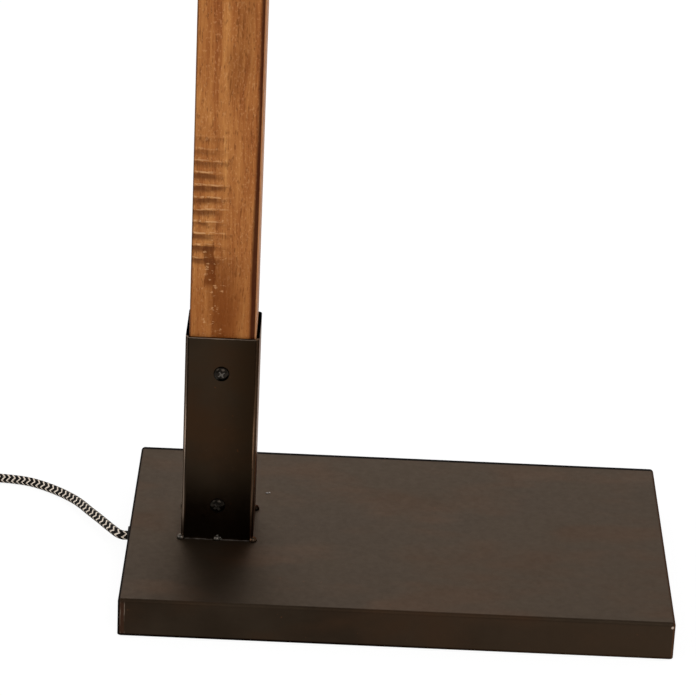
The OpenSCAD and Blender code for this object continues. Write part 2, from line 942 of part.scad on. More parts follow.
module swivel_flange() {
    color(steel_brown)
        difference() {
            union() {
                translate([swivel_x, 0, boom_under - flange_t])
                    cylinder(d = flange_dia, h = flange_t);
                translate([swivel_x, 0, boom_under])
                    mirror([0, 0, 1])
                        swivel_half(swivel_drop);
            }
            translate([swivel_x, 0, boom_under - flange_t - wire_hole_l])
                cylinder(d = cable_bore, h = flange_t + wire_hole_l + cut);
            at_swivel()
                pin_y(swivel_dia + 2 * run_gap, -disc_t, disc_t - blind_wall);
            at_flange_screws(boom_under - flange_t - cut)
                cylinder(d = flange_screw_dia + 2 * seat_gap, h = flange_t + 2 * cut);
        }
}

module flange_screws() {
    color(black)
        at_flange_screws(boom_under - flange_t) {
            mirror([0, 0, 1])
                dome(2 * flange_screw_dia, flange_screw_dia / 2);
            cylinder(d = flange_screw_dia, h = flange_t + flange_screw_l - cut);
        }
}

module swivel_screw() {
    head = -disc_t - slide_gap;
    color(black)
        at_swivel() {
            pin_y(swivel_dia, head - cut, disc_t - blind_wall - screw_tip_gap);
            pin_y(thumb_neck_dia, head - thumb_neck_l, head);
            pin_y(thumb_dia, head - thumb_l, head - thumb_neck_l);
            translate([0, head - thumb_l, 0])
                rotate([90, 0, 0])
                    dome(thumb_crown_dia, thumb_crown);
        }
}

// Lamp head, hung from the swivel

module swivel_neck() {
    color(steel_brown)
        at_swivel()
            difference() {
                union() {
                    translate([0, 0, cap_top])
                        rotate(180)
                            swivel_half(neck_l);
                    translate([0, 0, cap_top - spigot_l])
                        cylinder(d = spigot_dia, h = spigot_l + cut);
                }
                pin_y(swivel_dia + 2 * run_gap, -disc_t - cut, disc_t);
            }
}

module lampholder_cap() {
    flat_r = neck_dia / 2 + neck_ledge;
    color(steel_brown)
        at_swivel()
            difference() {
                translate([0, 0, shell_top])
                    rotate_extrude()
                        difference() {
                            cap_outline(shell_dia / 2, cap_h, flat_r);
                            translate([0, -shell_wall])
                                cap_outline(shell_dia / 2 - shell_wall, cap_h, flat_r - shell_wall);
                        }
                translate([0, 0, cap_top - spigot_l])
                    cylinder(d = spigot_dia + 2 * seat_gap, h = spigot_l + cut);
            }
}

// Half of the cap's section: a short upright, a rounded shoulder and a flat for the neck
module cap_outline(r, h, flat_r) {
    polygon([
        [0, 0], [r, 0],
        for (a = [0:15:90]) [flat_r + (r - flat_r) * cos(a), cap_upright + (h - cap_upright) * sin(a)],
        [0, h]
    ]);
}

module lampholder_shell() {
    color(steel_brown)
        at_swivel()
            difference() {
                union() {
                    translate([0, 0, shade_top])
                        cylinder(d = shell_dia, h = shell_h);
                    for (z = [shade_top, shell_top - shell_wall])
                        translate([0, 0, z])
                            cylinder(d = shell_dia + 2 * shell_wall, h = shell_wall);
                    translate([0, 0, key_z])
                        pin_y(key_dia + 2 * key_boss, -shell_dia / 2 - key_boss, 0);
                }
                translate([0, 0, shade_top - cut])
                    cylinder(d = skirt_dia + 2 * seat_gap, h = shell_wall + 2 * cut);
                translate([0, 0, shade_top + shell_wall])
                    cylinder(d = shell_dia - 2 * shell_wall, h = shell_h);
                translate([0, 0, key_z])
                    pin_y(key_dia + 2 * run_gap, -shell_dia, 0);
            }
}

// The porcelain core fills the shell and carries the threaded skirt below the shade
module lampholder_core() {
    core_dia = shell_dia - 2 * shell_wall - 2 * seat_gap;
    core_floor = shade_top + shell_wall + seat_gap;
    bore = screw_shell_dia + 2 * (screw_shell_wall + seat_gap);
    color(ivory)
        at_swivel()
            difference() {
                union() {
                    translate([0, 0, core_floor])
                        cylinder(d = core_dia, h = shell_top - seat_gap - core_floor);
                    translate([0, 0, skirt_end])
                        cylinder(d = skirt_dia, h = core_floor - skirt_end + cut);
                }
                translate([0, 0, skirt_end - cut])
                    cylinder(d = bore, h = bulb_top - skirt_end + cut + contact_h);
                translate([0, 0, key_z])
                    pin_y(key_dia + 2 * key_clear, -shell_dia, -shell_dia / 2 + shell_wall + key_pocket);
            }
}

module screw_shell() {
    bottom = skirt_end + shell_recess;
    depth = bulb_top - bottom;
    color(brass)
        at_swivel()
            translate([0, 0, bottom])
                difference() {
                    cylinder(d = screw_shell_dia + 2 * screw_shell_wall, h = depth + contact_h);
                    translate([0, 0, -cut])
                        cylinder(d = screw_shell_dia, h = depth + cut);
                    cylinder(d = contact_dia + 2 * contact_clear, h = shell_h);
                }
}

module centre_contact() {
    color(brass)
        at_swivel()
            translate([0, 0, bulb_top])
                cylinder(d = contact_dia, h = contact_h);
}

module switch_key() {
    tip = -shell_dia / 2 - key_boss - key_l;
    color(black)
        at_swivel()
            translate([0, 0, key_z]) {
                pin_y(key_dia, tip - cut, -shell_dia / 2 + shell_wall + key_pocket - key_clear);
                translate([0, tip, 0])
                    rotate([90, 0, 0])
                        linear_extrude(paddle_t)
                            rounded_rect(paddle_w, paddle_h, (paddle_h - paddle_flat) / 2);
            }
}

module shade_ring() {
    color(ivory)
        at_swivel()
            translate([0, 0, ring_top - ring_h])
                difference() {
                    cylinder(d = ring_dia, h = ring_h);
                    translate([0, 0, -cut])
                        cylinder(d = skirt_dia + 2 * seat_gap, h = ring_h + 2 * cut);
                    for (i = [0:ring_grips - 1])
                        rotate(360 * i / ring_grips)
                            translate([ring_dia / 2 + ring_grip_set, 0, -cut])
                                cylinder(d = ring_grip_dia, h = ring_h + 2 * cut);
                }
}

// Half of the dome's section: out from the flat top and down to the rim
function dome_arc(r, h) = [
    for (a = [0:6:90]) [shade_top_dia / 2 + (r - shade_top_dia / 2) * sin(a), -h * (1 - cos(a))]
];

module shade() {
    outer = dome_arc(shade_dia / 2, shade_h);
    inner = [for (p = dome_arc(shade_dia / 2 - shade_t, shade_h - shade_t)) [p[0], p[1] - shade_t]];
    last = len(inner) - 1;
    hole_r = skirt_dia / 2 + seat_gap;
    color(steel_brown)
        at_swivel()
            translate([0, 0, shade_top])
                union() {
                    rotate_extrude($fn = 96)
                        polygon(concat(
                            [[hole_r, 0]], outer,
                            [for (i = [0:last]) inner[last - i]],
                            [[hole_r, -shade_t]]
                        ));
                    rotate_extrude($fn = 96)
                        translate([shade_dia / 2 - shade_t / 2, -shade_h])
                            circle(roll_r);
                }
}

// Bulb

module bulb_cap() {
    barrel_l = bulb_cap_l - bulb_cap_tip - bulb_cap_cone;
    color(brass)
        at_swivel()
            difference() {
                union() {
                    translate([0, 0, bulb_top - bulb_cap_l])
                        cylinder(d = bulb_cap_dia, h = barrel_l);
                    translate([0, 0, bulb_top - bulb_cap_tip - bulb_cap_cone])
                        cylinder(d1 = bulb_cap_dia, d2 = contact_dia, h = bulb_cap_cone);
                    translate([0, 0, bulb_top - bulb_cap_tip - cut])
                        cylinder(d = contact_dia, h = bulb_cap_tip + cut);
                }
                translate([0, 0, bulb_top - bulb_cap_l - cut])
                    cylinder(d = bulb_cap_dia - 2 * bulb_cap_wall, h = barrel_l - bulb_cap_wall + cut);
            }
}

// Glass envelope: a round end that narrows in one sweep to the neck in the cap
module bulb_outline(r, neck, tip, top) {
    ball_z = tip + r;
    sweep_z = ball_z + r * sin(glass_join);
    sweep_r = r * cos(glass_join);
    sweep_h = top - neck_grip - bulb_cap_wall - sweep_z;
    polygon([
        [0, tip],
        for (a = [-80:10:glass_join]) [r * cos(a), ball_z + r * sin(a)],
        for (t = [0.2:0.2:1])
            [neck + (sweep_r - neck) * pow(1 - t, 2), sweep_z + sweep_h * t * (glass_sweep * (1 - t) + t)],
        [neck, top], [0, top]
    ]);
}

module bulb_glass() {
    color([0.85, 0.88, 0.88])
        at_swivel()
            rotate_extrude()
                difference() {
                    bulb_outline(bulb_dia / 2, glass_neck_r, bulb_tip, glass_neck_top);
                    bulb_outline(
                        bulb_dia / 2 - glass_t, glass_neck_r - glass_t,
                        bulb_tip + glass_t, glass_neck_top + cut
                    );
                }
}

module bulb_filament() {
    stem_end = skirt_end - stem_drop;
    color([0.95, 0.85, 0.55])
        at_swivel() {
            translate([0, 0, glass_neck_top - stem_foot_h])
                cylinder(r = glass_neck_r - glass_t - seat_gap, h = stem_foot_h);
            translate([0, 0, stem_end - led_l])
                cylinder(d = stem_dia, h = glass_neck_top - stem_end + led_l - stem_gap);
            for (turn = [0:90:270], tier = [0, 1])
                rotate(turn + 45)
                    translate([0, 0, stem_end - tier * led_l])
                        rotate([0, 90, 0])
                            cylinder(d = led_arm_dia, h = led_arm_l);
            for (turn = [0:90:270])
                rotate(turn + 45)
                    translate([led_r, 0, stem_end - led_l])
                        cylinder(d = led_dia, h = led_l);
        }
}

// Cord on the floor

module cord_lead() {
    color(cord_grey)
        tube(lead_points, cord_d, tube_sides);
}

module cord_coil() {
    echo(lead_length = route_length(lead_points), coil_length = route_length(coil_route));
    echo(coil_least_gap = least_gap(coil_route, cord_d));
    color(cord_grey)
        tube(coil_route, cord_d, coil_sides);
}

module coil_tie() {
    inside = coil_inner_r - cord_d / 2 - tie_gap;
    outside = coil_radius(0.5) + cord_d / 2 + tie_gap;
    under = coil_centre[2] - cord_d / 2 - (coil_lift - tie_t);
    over = coil_centre[2] + layer_step + cord_d / 2 + tie_gap;
    w = outside - inside;
    h = over - under;
    color(black)
        translate([coil_centre[0] + tie_w / 2, coil_centre[1] - (inside + outside) / 2, (under + over) / 2])
            rotate([90, 0, -90])
                linear_extrude(tie_w)
                    difference() {
                        rounded_rect(w + 2 * tie_t, h + 2 * tie_t, tie_corner_r + tie_t);
                        rounded_rect(w, h, tie_corner_r);
                    }
}

module plug_body() {
    color(black)
        translate(plug_start)
            rotate([0, -90, 0]) {
                cylinder(d1 = cord_d + 2 * relief_wall, d2 = cord_d + 2 * relief_end_wall, h = relief_l);
                hull() {
                    translate([0, 0, relief_l - plug_back_l])
                        linear_extrude(plug_back_l)
                            rounded_rect(plug_h - plug_back_h, plug_w - plug_back_w, plug_corner_r, $fn = 32);
                    translate([0, 0, relief_l + plug_shoulder])
                        linear_extrude(plug_l - plug_shoulder)
                            rounded_rect(plug_h, plug_w, plug_corner_r, $fn = 32);
                }
            }
}

module plug_pins() {
    color(brass)
        translate([plug_face, plug_start[1], plug_start[2]]) {
            for (side = [-1, 1])
                translate([-blade_l, side * blade_gap / 2 - blade_t / 2, -blade_drop])
                    cube([blade_l, blade_t, blade_w]);
            translate([0, 0, -earth_drop])
                rotate([0, -90, 0])
                    cylinder(d = earth_dia, h = blade_l + earth_extra);
        }
}

base_tray();
cover_pillars();
base_cover();
cover_screws();
floor_pad();
ballast_plate();
ballast_studs();
ballast_nuts();
post_socket();
socket_screws();
post();
cord_grommet();
cord_clamp();
clamp_studs();
clamp_nuts();
post_cable();
head_fork();
fork_screws();
pivot_bolt();
friction_washers();
knob_washer();
clamp_knob();
boom_beam();
pivot_bush();
pivot_cable();
boom_cable();
swivel_flange();
flange_screws();
swivel_screw();
swivel_neck();
lampholder_cap();
lampholder_shell();
lampholder_core();
screw_shell();
centre_contact();
switch_key();
shade_ring();
shade();
bulb_cap();
bulb_glass();
bulb_filament();
cord_lead();
cord_coil();
coil_tie();
plug_body();
plug_pins();
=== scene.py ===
import bmesh
import bpy
import math
from contextlib import contextmanager
from functools import partial
from mathutils import Matrix, Vector


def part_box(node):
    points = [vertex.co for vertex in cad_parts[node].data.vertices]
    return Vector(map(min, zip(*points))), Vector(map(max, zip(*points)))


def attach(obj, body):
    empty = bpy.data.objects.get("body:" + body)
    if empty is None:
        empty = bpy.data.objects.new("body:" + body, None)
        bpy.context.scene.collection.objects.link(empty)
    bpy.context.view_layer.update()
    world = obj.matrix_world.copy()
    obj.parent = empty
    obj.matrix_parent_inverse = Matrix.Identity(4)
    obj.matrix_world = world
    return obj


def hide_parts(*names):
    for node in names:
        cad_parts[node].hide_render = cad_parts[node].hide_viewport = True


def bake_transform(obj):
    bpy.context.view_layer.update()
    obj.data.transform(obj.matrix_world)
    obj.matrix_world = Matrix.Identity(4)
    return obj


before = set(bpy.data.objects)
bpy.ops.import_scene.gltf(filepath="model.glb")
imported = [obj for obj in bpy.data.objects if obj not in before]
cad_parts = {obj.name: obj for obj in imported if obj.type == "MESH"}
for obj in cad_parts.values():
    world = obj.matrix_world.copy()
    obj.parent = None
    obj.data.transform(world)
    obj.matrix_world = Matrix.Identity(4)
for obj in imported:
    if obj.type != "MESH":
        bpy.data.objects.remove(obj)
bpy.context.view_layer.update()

# Camera: a long lens a little over two metres in front of the foot.
# It looks down about 24 degrees and is rolled a little, as the foot's edges show.
def placed(name, data):
    """A new object in the scene."""
    made = bpy.data.objects.new(name, data)
    bpy.context.scene.collection.objects.link(made)
    return made


lens_place = Vector((-0.052357, -2.275422, 1.215918))
pitch, yaw, roll = 0.42780873, 0.00404867, 0.04589982
ahead = Vector((math.sin(yaw) * math.cos(pitch), math.cos(yaw) * math.cos(pitch), -math.sin(pitch)))
level_right = Vector((math.cos(yaw), -math.sin(yaw), 0))
level_up = level_right.cross(ahead)
lens_right = math.cos(roll) * level_right + math.sin(roll) * level_up
lens_up = math.cos(roll) * level_up - math.sin(roll) * level_right
sensor_mm, focal_px, photo_px, far_m = 36, 3425.139, 696, 200
camera = placed("camera", bpy.data.cameras.new("camera"))
camera.data.sensor_width = sensor_mm
camera.data.lens = sensor_mm * focal_px / photo_px
camera.data.clip_end = far_m
lens_turn = Matrix((lens_right, lens_up, -ahead)).transposed().to_4x4()
camera.matrix_world = Matrix.Translation(lens_place) @ lens_turn
bpy.context.scene.camera = camera
bpy.context.scene.view_settings.view_transform = "Standard"


# Studio: a pale seamless floor, a white backdrop, three large soft boxes and an even room light.
# The camera, gloss and glass see floor and backdrop white; gloss also sees the dimmer room in front.
def put(tree, kind, fields=(), **sockets):
    """Adds a node; fields are its own settings, and a socket takes a value or other nodes' outputs."""
    made = tree.nodes.new(kind)
    for key, value in dict(fields).items():
        setattr(made, key, value)
    for key, value in sockets.items():
        place = made.inputs[int(key[1:])] if key[1:].isdigit() else made.inputs[key.replace("_", " ")]
        if isinstance(value, bpy.types.NodeSocket):
            tree.links.new(value, place)
        elif isinstance(value, list):
            for one in value:
                tree.links.new(one, place)
        else:
            place.default_value = value
    return made


def wire(tree, kind, fields=(), **sockets):
    """The first output of a new node."""
    return put(tree, kind, fields, **sockets).outputs[0]


def tree_of(values):
    """The tree that the outputs among the values belong to."""
    return next(value.id_data for value in values if isinstance(value, bpy.types.NodeSocket))


def sums(operation, *values):
    """Math on values and outputs, taken in turn from the left."""
    tree, total = tree_of(values), values[0]
    for value in values[1:] or (0.0,):
        total = wire(tree, "ShaderNodeMath", {"operation": operation}, n0=total, n1=value)
    return total


times, minus, highest = (partial(sums, operation) for operation in ("MULTIPLY", "SUBTRACT", "MAXIMUM"))


def soft_step(value, low, high):
    """0 at low and 1 at high, with a smooth rise or fall between them."""
    return wire(value.id_data, "ShaderNodeMapRange", {"interpolation_type": "SMOOTHSTEP"},
                Value=value, From_Min=low, From_Max=high)


def axes(vector):
    return put(vector.id_data, "ShaderNodeSeparateXYZ", Vector=vector).outputs


def seen_rays(tree):
    """1 for the rays that show the background: from the lens, off gloss and through glass."""
    ray = put(tree, "ShaderNodeLightPath").outputs
    return highest(ray["Is Camera Ray"], ray["Is Glossy Ray"], ray["Is Transmission Ray"])


floor_half, floor_z = 30.0, -0.0002
floor_mesh = bpy.data.meshes.new("floor")
floor_corners = [(x * floor_half, y * floor_half, floor_z) for x, y in ((-1, -1), (1, -1), (1, 1), (-1, 1))]
floor_mesh.from_pydata(floor_corners, [], [(0, 1, 2, 3)])
placed("floor", floor_mesh)
floor_paint = bpy.data.materials.new("floor_paint")
floor_paint.use_nodes = True
nodes = floor_paint.node_tree
nodes.nodes.clear()
paper = wire(nodes, "ShaderNodeBsdfDiffuse", Color=(0.86, 0.86, 0.86, 1))
glow_strength, paper_share = 1.05, 0.13
glow = wire(nodes, "ShaderNodeEmission", Color=(1, 1, 1, 1), Strength=glow_strength)
shown = wire(nodes, "ShaderNodeMixShader", n0=paper_share, n1=glow, n2=paper)
either = wire(nodes, "ShaderNodeMixShader", n0=seen_rays(nodes), n1=paper, n2=shown)
put(nodes, "ShaderNodeOutputMaterial", Surface=either)
floor_mesh.materials.append(floor_paint)

world = bpy.data.worlds.new("studio")
bpy.context.scene.world = world
world.use_nodes = True
nodes = world.node_tree
nodes.nodes.clear()
room_strength, front_dimming = 0.62, 0.62
room = wire(nodes, "ShaderNodeBackground", Color=(1, 1, 1, 1), Strength=room_strength)
heading = axes(put(nodes, "ShaderNodeTexCoord").outputs["Generated"])
backdrop = soft_step(minus(heading[1], times(heading[2], 0.5)), -0.75, 0.05)
shine = put(nodes, "ShaderNodeLightPath").outputs["Is Glossy Ray"]
dim = times(shine, times(minus(1.0, backdrop), front_dimming))
white = wire(nodes, "ShaderNodeBackground", Color=(1, 1, 1, 1), Strength=minus(1.0, dim))
either = wire(nodes, "ShaderNodeMixShader", n0=seen_rays(nodes), n1=room, n2=white)
put(nodes, "ShaderNodeOutputWorld", Surface=either)

for name, place, aim, size, power in (
        ("box_front", (1.1, -3.0, 3.2), (0, 0, 0.4), 2.4, 70),
        ("box_left", (-3.2, -1.2, 2.6), (-0.1, 0, 0.5), 2.0, 35),
        ("box_back", (-0.2, 2.6, 1.9), (0, 0, 0.1), 2.6, 27)):
    lamp = placed(name, bpy.data.lights.new(name, "AREA"))
    lamp.data.size = size
    lamp.data.energy = power
    lamp.location = place
    lamp.rotation_mode = "QUATERNION"
    lamp.rotation_quaternion = (Vector(aim) - Vector(place)).to_track_quat("-Z", "Y")


# Mains cord: a limp round lead in a black and cream herringbone braid.
# It leaves the foot's left wall, lies along the floor and ends in a tied coil past the view's edge.
plus, absolute = partial(sums, "ADD"), partial(sums, "ABSOLUTE")


def vectors(operation, first, *second, **more):
    """Math on vectors."""
    return wire(tree_of((first, *second)), "ShaderNodeVectorMath", {"operation": operation}, n0=first,
                **{"n1": one for one in second}, **more)


def mottle(place, size, stretch=(1, 1, 1), detail=3.0):
    """Noise whose blots are about size metres wide, drawn out where stretch is under 1."""
    drawn = vectors("MULTIPLY", place, stretch)
    return wire(place.id_data, "ShaderNodeTexNoise", Vector=drawn, Scale=1 / size, Detail=detail)


def waver(place, size, amount, stretch=(1, 1, 1), detail=3.0):
    """The same noise, swinging by half the amount to either side of nought."""
    return times(minus(mottle(place, size, stretch, detail), 0.5), amount)


def graded(value, share, base):
    return plus(times(value, share), base)


def between(value, start, full, wane, end):
    """1 from full to wane, falling to 0 at start and at end."""
    return times(soft_step(value, start, full), soft_step(value, end, wane))


def tint(share, under, over, strength=1.0):
    """One colour over another, where the share is 1, as strongly as strength says."""
    if strength != 1.0:
        share = times(share, strength)
    return put(share.id_data, "ShaderNodeMix", {"data_type": "RGBA"}, n0=share, n6=under, n7=over).outputs[2]


def paint(name, **plain):
    """A material with its plain values set on the shader, its shader and object coordinates."""
    made = bpy.data.materials.new(name)
    made.use_nodes = True
    shader = made.node_tree.nodes["Principled BSDF"]
    for key, value in plain.items():
        shader.inputs[key.replace("_", " ")].default_value = value
    return made, shader, put(made.node_tree, "ShaderNodeTexCoord").outputs["Object"]


def feed(end, **outputs):
    """Joins outputs to the sockets of a shader or of a group's end."""
    for key, output in outputs.items():
        end.id_data.links.new(output, end.inputs[key.replace("_", " ")])


def dress(shader, colour, rough, height, depth):
    """Colour, roughness and relief onto the shader; depth is the relief's height in metres."""
    bump = wire(shader.id_data, "ShaderNodeBump", Strength=1.0, Distance=depth, Height=height)
    feed(shader, Base_Color=colour, Roughness=rough, Normal=bump)


def smooth_route(points, step):
    """Points about step apart on one smooth curve through the given ones."""
    known = [Vector(p) for p in points]
    known = [2 * known[0] - known[1]] + known + [2 * known[-1] - known[-2]]
    line = []
    for a, b, c, d in zip(known, known[1:], known[2:], known[3:]):
        count = max(1, round((c - b).length / step))
        for i in range(count):
            t = i / count
            line.append(0.5 * (2 * b + (c - a) * t + (2 * a - 5 * b + 4 * c - d) * t * t
                               + (3 * b - a - 3 * c + d) * t ** 3))
    return line + [known[-2]]


cord_dia, cord_sides, yarn_relief = 0.007, 24, 0.0002
chevron, chevron_rows, chevron_lean, chevron_steps = 0.0041, 4, 0.60, 6


def braided_tube(name, line, sides, relief, pulled=0.0, pulled_to=0.0):
    """A braided tube along a line, with yarn relief and a map of chevrons along it and turns round it.

    Where it runs back, short of pulled_to, its braid is pulled longer by the share pulled."""
    across = Vector((0, 0, 1))
    corners, quads, chart = [], [], []
    run = 0.0
    for i, point in enumerate(line):
        heading = (line[min(i + 1, len(line) - 1)] - line[max(i - 1, 0)]).normalized()
        if i == 0 and abs(heading.z) > 0.9:
            across = Vector((0, 1, 0))
        across = (across - heading * across.dot(heading)).normalized()
        other = heading.cross(across)
        slack = 1 + pulled * heading.y ** 2 if point.x > pulled_to else 1.0
        step = (point - line[i - 1]).length / (chevron * slack) if i else 0.0
        run += step
        for k in range(sides):
            turn = k / sides
            zigzag = 1 - abs(2 * (turn * chevron_rows % 1) - 1)
            yarn = abs(math.sin(2 * math.pi * (run + chevron_lean * zigzag)))
            reach = cord_dia / 2 - relief * (1 - yarn)
            angle = 2 * math.pi * turn
            corners.append(point + reach * (math.cos(angle) * across + math.sin(angle) * other))
        if i:
            for k in range(sides):
                a, b = (i - 1) * sides + k, (i - 1) * sides + (k + 1) % sides
                quads.append((a, b, b + sides, a + sides))
                for along, turn in ((run - step, k), (run - step, k + 1), (run, k + 1), (run, k)):
                    chart += [along, turn / sides]
    last = (len(line) - 1) * sides
    quads += [tuple(range(sides - 1, -1, -1)), tuple(range(last, last + sides))]
    chart += [0.0] * (4 * sides)
    mesh = bpy.data.meshes.new(name)
    mesh.from_pydata(corners, [], quads)
    mesh.uv_layers.new(name="UVMap").data.foreach_set("uv", chart)
    mesh.shade_smooth()
    mesh.materials.append(braid)
    return placed(name, mesh)


def assigned(made, body, slot, *nodes):
    """A piece rides on a body and hides the solids it replaces; slot is not used."""
    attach(made, body)
    if nodes:
        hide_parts(*nodes)


braid, shader, place = paint("textile_cord", Sheen_Weight=0.02, Sheen_Roughness=0.5, IOR=1.2)
split = axes(wire(shader.id_data, "ShaderNodeUVMap", {"uv_map": "UVMap"}))
zigzag = sums("PINGPONG", times(split[1], 2.0 * chevron_rows), 1.0)
phase = sums("FRACT", plus(split[0], times(zigzag, chevron_lean)))
ragged = plus(phase, waver(place, 0.0006, 0.16))
dark_yarn = between(ragged, 0.0, 0.06, 0.70, 0.75)
soot = tint(mottle(place, 0.004), (0.003, 0.0025, 0.002, 1), (0.011, 0.008, 0.006, 1))
cream = tint(mottle(place, 0.003), (0.74, 0.61, 0.49, 1), (0.93, 0.83, 0.71, 1))
strand = absolute(sums("SINE", times(phase, 8 * math.pi)))
# Painted shade: the valleys between the chevron rows are darkened.
valley_shade = absolute(sums("SINE", times(phase, 2 * math.pi)))
colour = tint(soft_step(valley_shade, 0.4, 0.0), tint(dark_yarn, cream, soot), (0.02, 0.015, 0.01, 1), 0.45)
strand_relief = 0.00012
dress(shader, colour, graded(strand, 0.12, 0.78), plus(strand, mottle(place, 0.0003)), strand_relief)

mm_per_m = 1000
lead_points = [(x / mm_per_m, y / mm_per_m, z / mm_per_m) for x, y, z in (
    (-202, 8, 12), (-206, 8.2, 12), (-209.5, 10.6, 12), (-213, 15, 12), (-219, 24.5, 11.5),
    (-226, 36.5, 10.5), (-234.5, 51, 9), (-243.5, 67.5, 7), (-252.5, 80.5, 5.2), (-262, 91, 4),
    (-274, 100, 3.6), (-286, 106, 3.6), (-298, 108.8, 3.6), (-310, 110.2, 3.6), (-322, 110.9, 3.6),
    (-334, 111.3, 3.6), (-346, 111.5, 3.7), (-358, 111.5, 4.1), (-369, 111.5, 4.5))]
coil_middle = Vector((-0.376, 0.0575, 0.0045))
coil_outer, turn_step, layer_step = 0.054, 0.0086, 0.0076
layer_turns, climb_turns, turn_points = 3.25, 0.5, 24
coil_inner = coil_outer - layer_turns * turn_step


def coil_point(turns):
    """In on the floor, half a turn's climb at the middle, and out again on top."""
    out = max(0.0, turns - layer_turns - climb_turns)
    reach = max(coil_inner, coil_outer - turn_step * turns) if out == 0 else coil_inner + turn_step * out
    climb = layer_step * min(max((turns - layer_turns) / climb_turns, 0.0), 1.0)
    angle = math.pi / 2 + 2 * math.pi * turns
    return coil_middle + Vector((reach * math.cos(angle), reach * math.sin(angle), climb))


coil_count = round((2 * layer_turns + climb_turns) * turn_points)
plug_lead, pulled, pulled_to = 0.024, 0.58, -0.315
plug_start = coil_middle + Vector((-plug_lead, coil_outer, layer_step))
coil_line = [coil_point(i / turn_points) for i in range(coil_count + 1)]
cord_line = smooth_route(lead_points + coil_line + [plug_start], chevron / chevron_steps)
cord = braided_tube("mains_cord", cord_line, cord_sides, yarn_relief, pulled, pulled_to)
assigned(cord, "stand", "textile_cord", "cord_lead", "cord_coil")


# Tie round the put-away coil: a strip of black webbing with its end lapped over on top.
# It is woven, 10 mm wide, and grips the turns on the side away from the plug.
@contextmanager
def opened(mesh):
    """A mesh opened for editing, and closed again afterwards."""
    shell = bmesh.new()
    shell.from_mesh(mesh)
    yield shell
    shell.to_mesh(mesh)
    shell.free()


def swept_strip(name, line, normals, width, thickness):
    """A strip of webbing along a line in an upright plane, as wide as width along X."""
    corners, faces = [], []
    ring = [(-0.5, 0.3), (-0.46, 0.5), (0.46, 0.5), (0.5, 0.3)]
    ring += [(-across, -up) for across, up in ring]
    for point, out in zip(line, normals):
        corners += [point + Vector((across * width, 0, 0)) + out * (up * thickness) for across, up in ring]
    count = len(ring)
    for i in range(len(line) - 1):
        for k in range(count):
            a, b = i * count + k, i * count + (k + 1) % count
            faces.append((a, a + count, b + count, b))
    last = (len(line) - 1) * count
    faces += [tuple(range(count)), tuple(range(last + count - 1, last - 1, -1))]
    mesh = bpy.data.meshes.new(name)
    mesh.from_pydata(corners, [], faces)
    with opened(mesh) as shell:
        bmesh.ops.recalc_face_normals(shell, faces=shell.faces)
    mesh.shade_smooth()
    mesh.set_sharp_from_angle(angle=math.radians(50))
    return placed(name, mesh)


webbing, shader, place = paint("tie_webbing", Sheen_Weight=0.06, Sheen_Roughness=0.6, Specular_IOR_Level=0.25)
split = axes(place)
rib_width, pick_width = 0.0009, 0.0012
rib = absolute(sums("SINE", times(split[0], math.pi / rib_width)))
pick = absolute(sums("SINE", times(plus(split[1], split[2]), math.pi / pick_width)))
weave = times(rib, pick)
colour = tint(weave, (0.008, 0.008, 0.008, 1), (0.035, 0.033, 0.031, 1))
dress(shader, colour, graded(weave, 0.1, 0.8), weave, 0.0002)

tie_low, tie_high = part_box("coil_tie")
tie_wall, tie_corner, tie_width = 0.0008, 0.0034, tie_high.x - tie_low.x
tie_x = (tie_low.x + tie_high.x) / 2
half_y, half_z = (tie_high.y - tie_low.y - tie_wall) / 2, (tie_high.z - tie_low.z - tie_wall) / 2
tie_mid = Vector((tie_x, (tie_low.y + tie_high.y) / 2, (tie_low.z + tie_high.z) / 2))
tie_line, tie_out, corner_steps = [], [], 6
for corner, (sy, sz) in enumerate(((1, 1), (1, -1), (-1, -1), (-1, 1))):
    centre = tie_mid + Vector((0, sy * (half_y - tie_corner), sz * (half_z - tie_corner)))
    for step in range(corner_steps + 1):
        angle = math.pi / 2 - math.pi / 2 * (corner + step / corner_steps)
        out = Vector((0, math.cos(angle), math.sin(angle)))
        tie_line.append(centre + tie_corner * out)
        tie_out.append(out)
lap, lap_start = 0.017, 0.004
for share in (0.0, 0.12, 0.3, 0.6, 1.0):
    rise = tie_wall * (0.3 + 0.9 * min(1.0, share / 0.3))
    start = tie_mid + Vector((0, -(half_y - tie_corner), half_z))
    tie_line.append(start + Vector((0, lap_start + lap * share, rise)))
    tie_out.append(Vector((0, 0, 1)))
tie = swept_strip("cord_tie", tie_line, tie_out, tie_width, tie_wall)
tie.data.materials.append(webbing)
assigned(tie, "stand", "felt", "coil_tie")


# Plug: a black moulded body with a ribbed strain relief, two flat blades and a round earth pin.
# It is moulded onto the cord's end and lies on the floor beside the coil.
same_spot, tiny, round_steps = 1e-6, 2e-5, 3
ratio = partial(sums, "DIVIDE")


